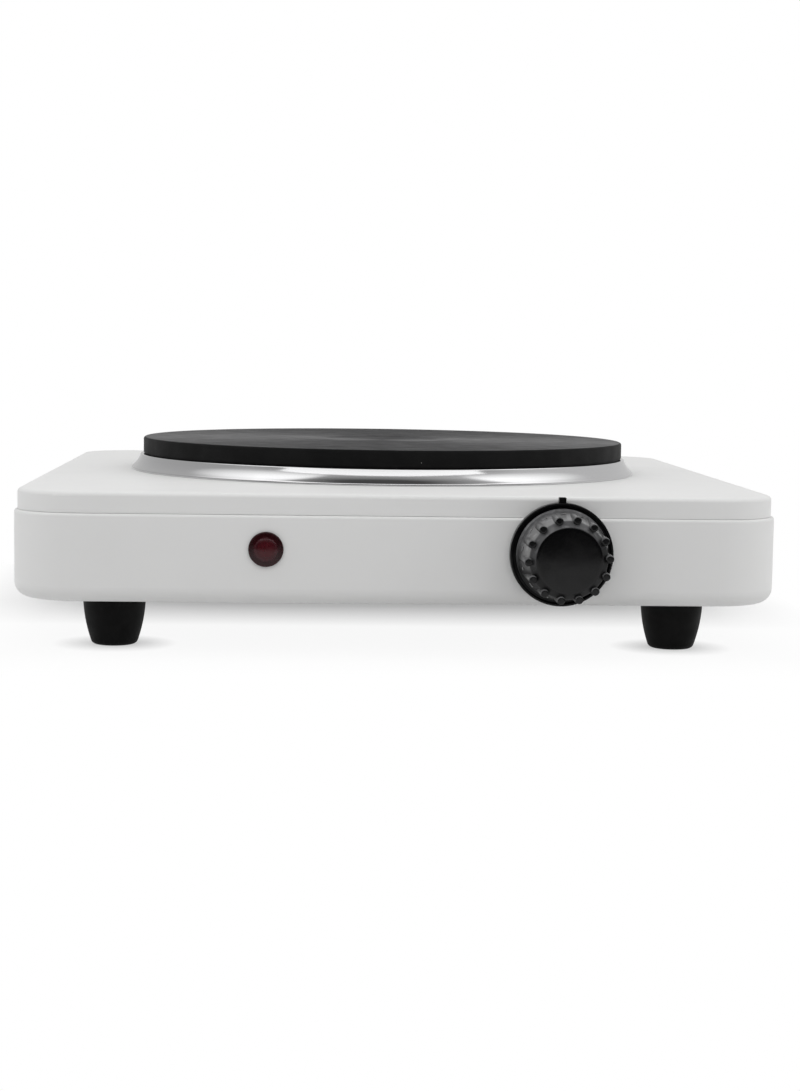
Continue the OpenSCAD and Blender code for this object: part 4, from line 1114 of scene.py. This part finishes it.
def black_flag(distance, width, height):
    """A black card ahead of the dial that only reflections see."""
    start_clean()
    bpy.ops.mesh.primitive_plane_add(size=1)
    card = bpy.context.object
    card.name = "black_flag"
    card.scale = (width, height, 1)
    place(card, (0, -distance, height / 2), TO_FRONT)
    material = bpy.data.materials.new("black_card")
    material.use_nodes = True
    Nodes(material.node_tree).fill(material.node_tree.nodes["Principled BSDF"], Roughness=1,
                                   Base_Color=(0.004, 0.004, 0.004, 1), Specular_IOR_Level=0)
    coat(card, material)
    card.visible_camera = False
    card.visible_diffuse = False
    card.visible_shadow = False
    card.visible_transmission = False


def lamp_glow(build, way, axis, strength):
    """A soft round lamp about this axis, full within 3 degrees of it and gone at 36."""
    full, gone = (math.cos(math.radians(angle)) for angle in (3, 36))
    facing = build.vector_maths("DOT_PRODUCT", way, Vector(axis).normalized())["Value"]
    return build.span(facing, gone, full, 0.0, strength)


def room(scene, fill, lamps):
    """Room light: a dark spot overhead, a soft lamp on each side of it, and a dim front.

    The camera sees plain white instead, and metal and glass see a little of that white at the rear.
    """
    world = bpy.data.worlds.new("studio_room")
    scene.world = world
    world.use_nodes = True
    build = Nodes(world.node_tree)
    build.tree.nodes.clear()
    rays = build.add("ShaderNodeLightPath").outputs
    way = build.add("ShaderNodeTexCoord").outputs["Generated"]
    aside, ahead, up = build.parts(way)
    steep = build.maths("ARCCOSINE", up)
    ceiling = build.span(steep, math.radians(10), math.radians(31), 0.08, fill)
    lean = build.maths("MULTIPLY_ADD", aside, 0.2, 1.0)
    front = build.span(ahead, -0.9, -0.3, 0.25, 1.0)
    plain = build.times(ceiling, lean, front)
    left_lamp = lamp_glow(build, way, (-0.35, 0.05, 0.935), lamps)
    right_lamp = lamp_glow(build, way, (0.38, 0.095, 0.92), lamps)
    off_middle = build.maths("ABSOLUTE", build.maths("SUBTRACT", aside, 0.05))
    beside = build.times(build.span(off_middle, 0.37, 0.43, 0.0, 1.0),
                         build.span(ahead, 0.37, 0.9, 1.0, 0.0))
    level = build.plus(plain, build.times(build.plus(left_lamp, right_lamp), beside))
    mirrored = build.maths("MAXIMUM", rays["Is Glossy Ray"], rays["Is Transmission Ray"])
    rear = build.times(mirrored, build.span(ahead, 0.93, 1.0, 0.0, 0.1))
    white_share = build.maths("MAXIMUM", rays["Is Camera Ray"], rear)
    lit = build.add("ShaderNodeBackground", Color=(1, 1, 1, 1),
                    Strength=build.span(white_share, 0.0, 1.0, level, 1.0))
    build.add("ShaderNodeOutputWorld", Surface=lit.outputs[0])


class HOTPLATE_OT_studio(bpy.types.Operator):
    """Sets up the pale floor, the soft lights and the camera"""

    bl_idname = "hotplate.studio"
    bl_label = "Studio"

    def execute(self, context):
        scene = context.scene
        studio = scene.hot_plate_studio
        start_clean()
        bpy.ops.mesh.primitive_plane_add(size=12, location=(0, 0, 0))
        floor = context.object
        floor.name = "floor"
        floor.data.materials.append(floor_finish(studio.floor))
        softbox("front_strip", (-0.04, -0.84, 0.85), 1.9, 0.5, studio.front_light)
        softbox("top_light", (0, -0.2, 1.4), 1.6, 1.2, studio.top_light, mirrored=False)
        for side in (-1, 1):
            softbox("side_light", (side * 1.3, -0.1, 0.55), 0.8, 0.8, studio.side_light, mirrored=False)
        black_flag(distance=0.48, width=2.4, height=0.25)
        room(scene, studio.fill, studio.lamps)
        bpy.ops.object.camera_add(location=CAMERA_SPOT)
        camera = context.object
        level = Matrix.Rotation(-CAMERA_YAW, 3, "Z") @ Matrix.Rotation(math.pi / 2 - CAMERA_PITCH, 3, "X")
        camera.rotation_euler = (level @ Matrix.Rotation(CAMERA_ROLL, 3, "Z")).to_euler()
        camera.data.lens = studio.lens
        camera.data.sensor_width = 36
        scene.camera = camera
        scene.view_settings.view_transform = "Standard"
        return {"FINISHED"}


class HOTPLATE_PT_panel(bpy.types.Panel):
    """Lists the pieces of the hot plate and their sizes and colours"""

    bl_idname = "HOTPLATE_PT_panel"
    bl_label = "Hot Plate"
    bl_space_type = "VIEW_3D"
    bl_region_type = "UI"
    bl_category = "Hot Plate"

    def draw(self, context):
        for operator in OPERATORS:
            self.layout.operator(operator.bl_idname)
        for group in ("hot_plate_sizes", "hot_plate_colours", "hot_plate_studio"):
            values = getattr(context.scene, group)
            box = self.layout.box()
            for name in values.__annotations__:
                box.prop(values, name)


OPERATORS = (
    HOTPLATE_OT_cooking_plate,
    HOTPLATE_OT_trim_ring,
    HOTPLATE_OT_feet,
    HOTPLATE_OT_dial_bezel,
    HOTPLATE_OT_knob,
    HOTPLATE_OT_dial_numbers,
    HOTPLATE_OT_indicator_lamp,
    HOTPLATE_OT_cord_gland,
    HOTPLATE_OT_sheet_and_inner_parts,
    HOTPLATE_OT_studio,
)
CLASSES = (HotPlateSizes, HotPlateColours, HotPlateStudio, *OPERATORS, HOTPLATE_PT_panel)


def register():
    for cls in CLASSES:
        bpy.utils.register_class(cls)
    bpy.types.Scene.hot_plate_sizes = bpy.props.PointerProperty(type=HotPlateSizes)
    bpy.types.Scene.hot_plate_colours = bpy.props.PointerProperty(type=HotPlateColours)
    bpy.types.Scene.hot_plate_studio = bpy.props.PointerProperty(type=HotPlateStudio)


def unregister():
    del bpy.types.Scene.hot_plate_sizes
    del bpy.types.Scene.hot_plate_colours
    del bpy.types.Scene.hot_plate_studio
    for cls in reversed(CLASSES):
        bpy.utils.unregister_class(cls)


def main():
    register()
    for operator in OPERATORS:
        family, name = operator.bl_idname.split(".")
        getattr(getattr(bpy.ops, family), name)()


if __name__ == "__main__":
    main()
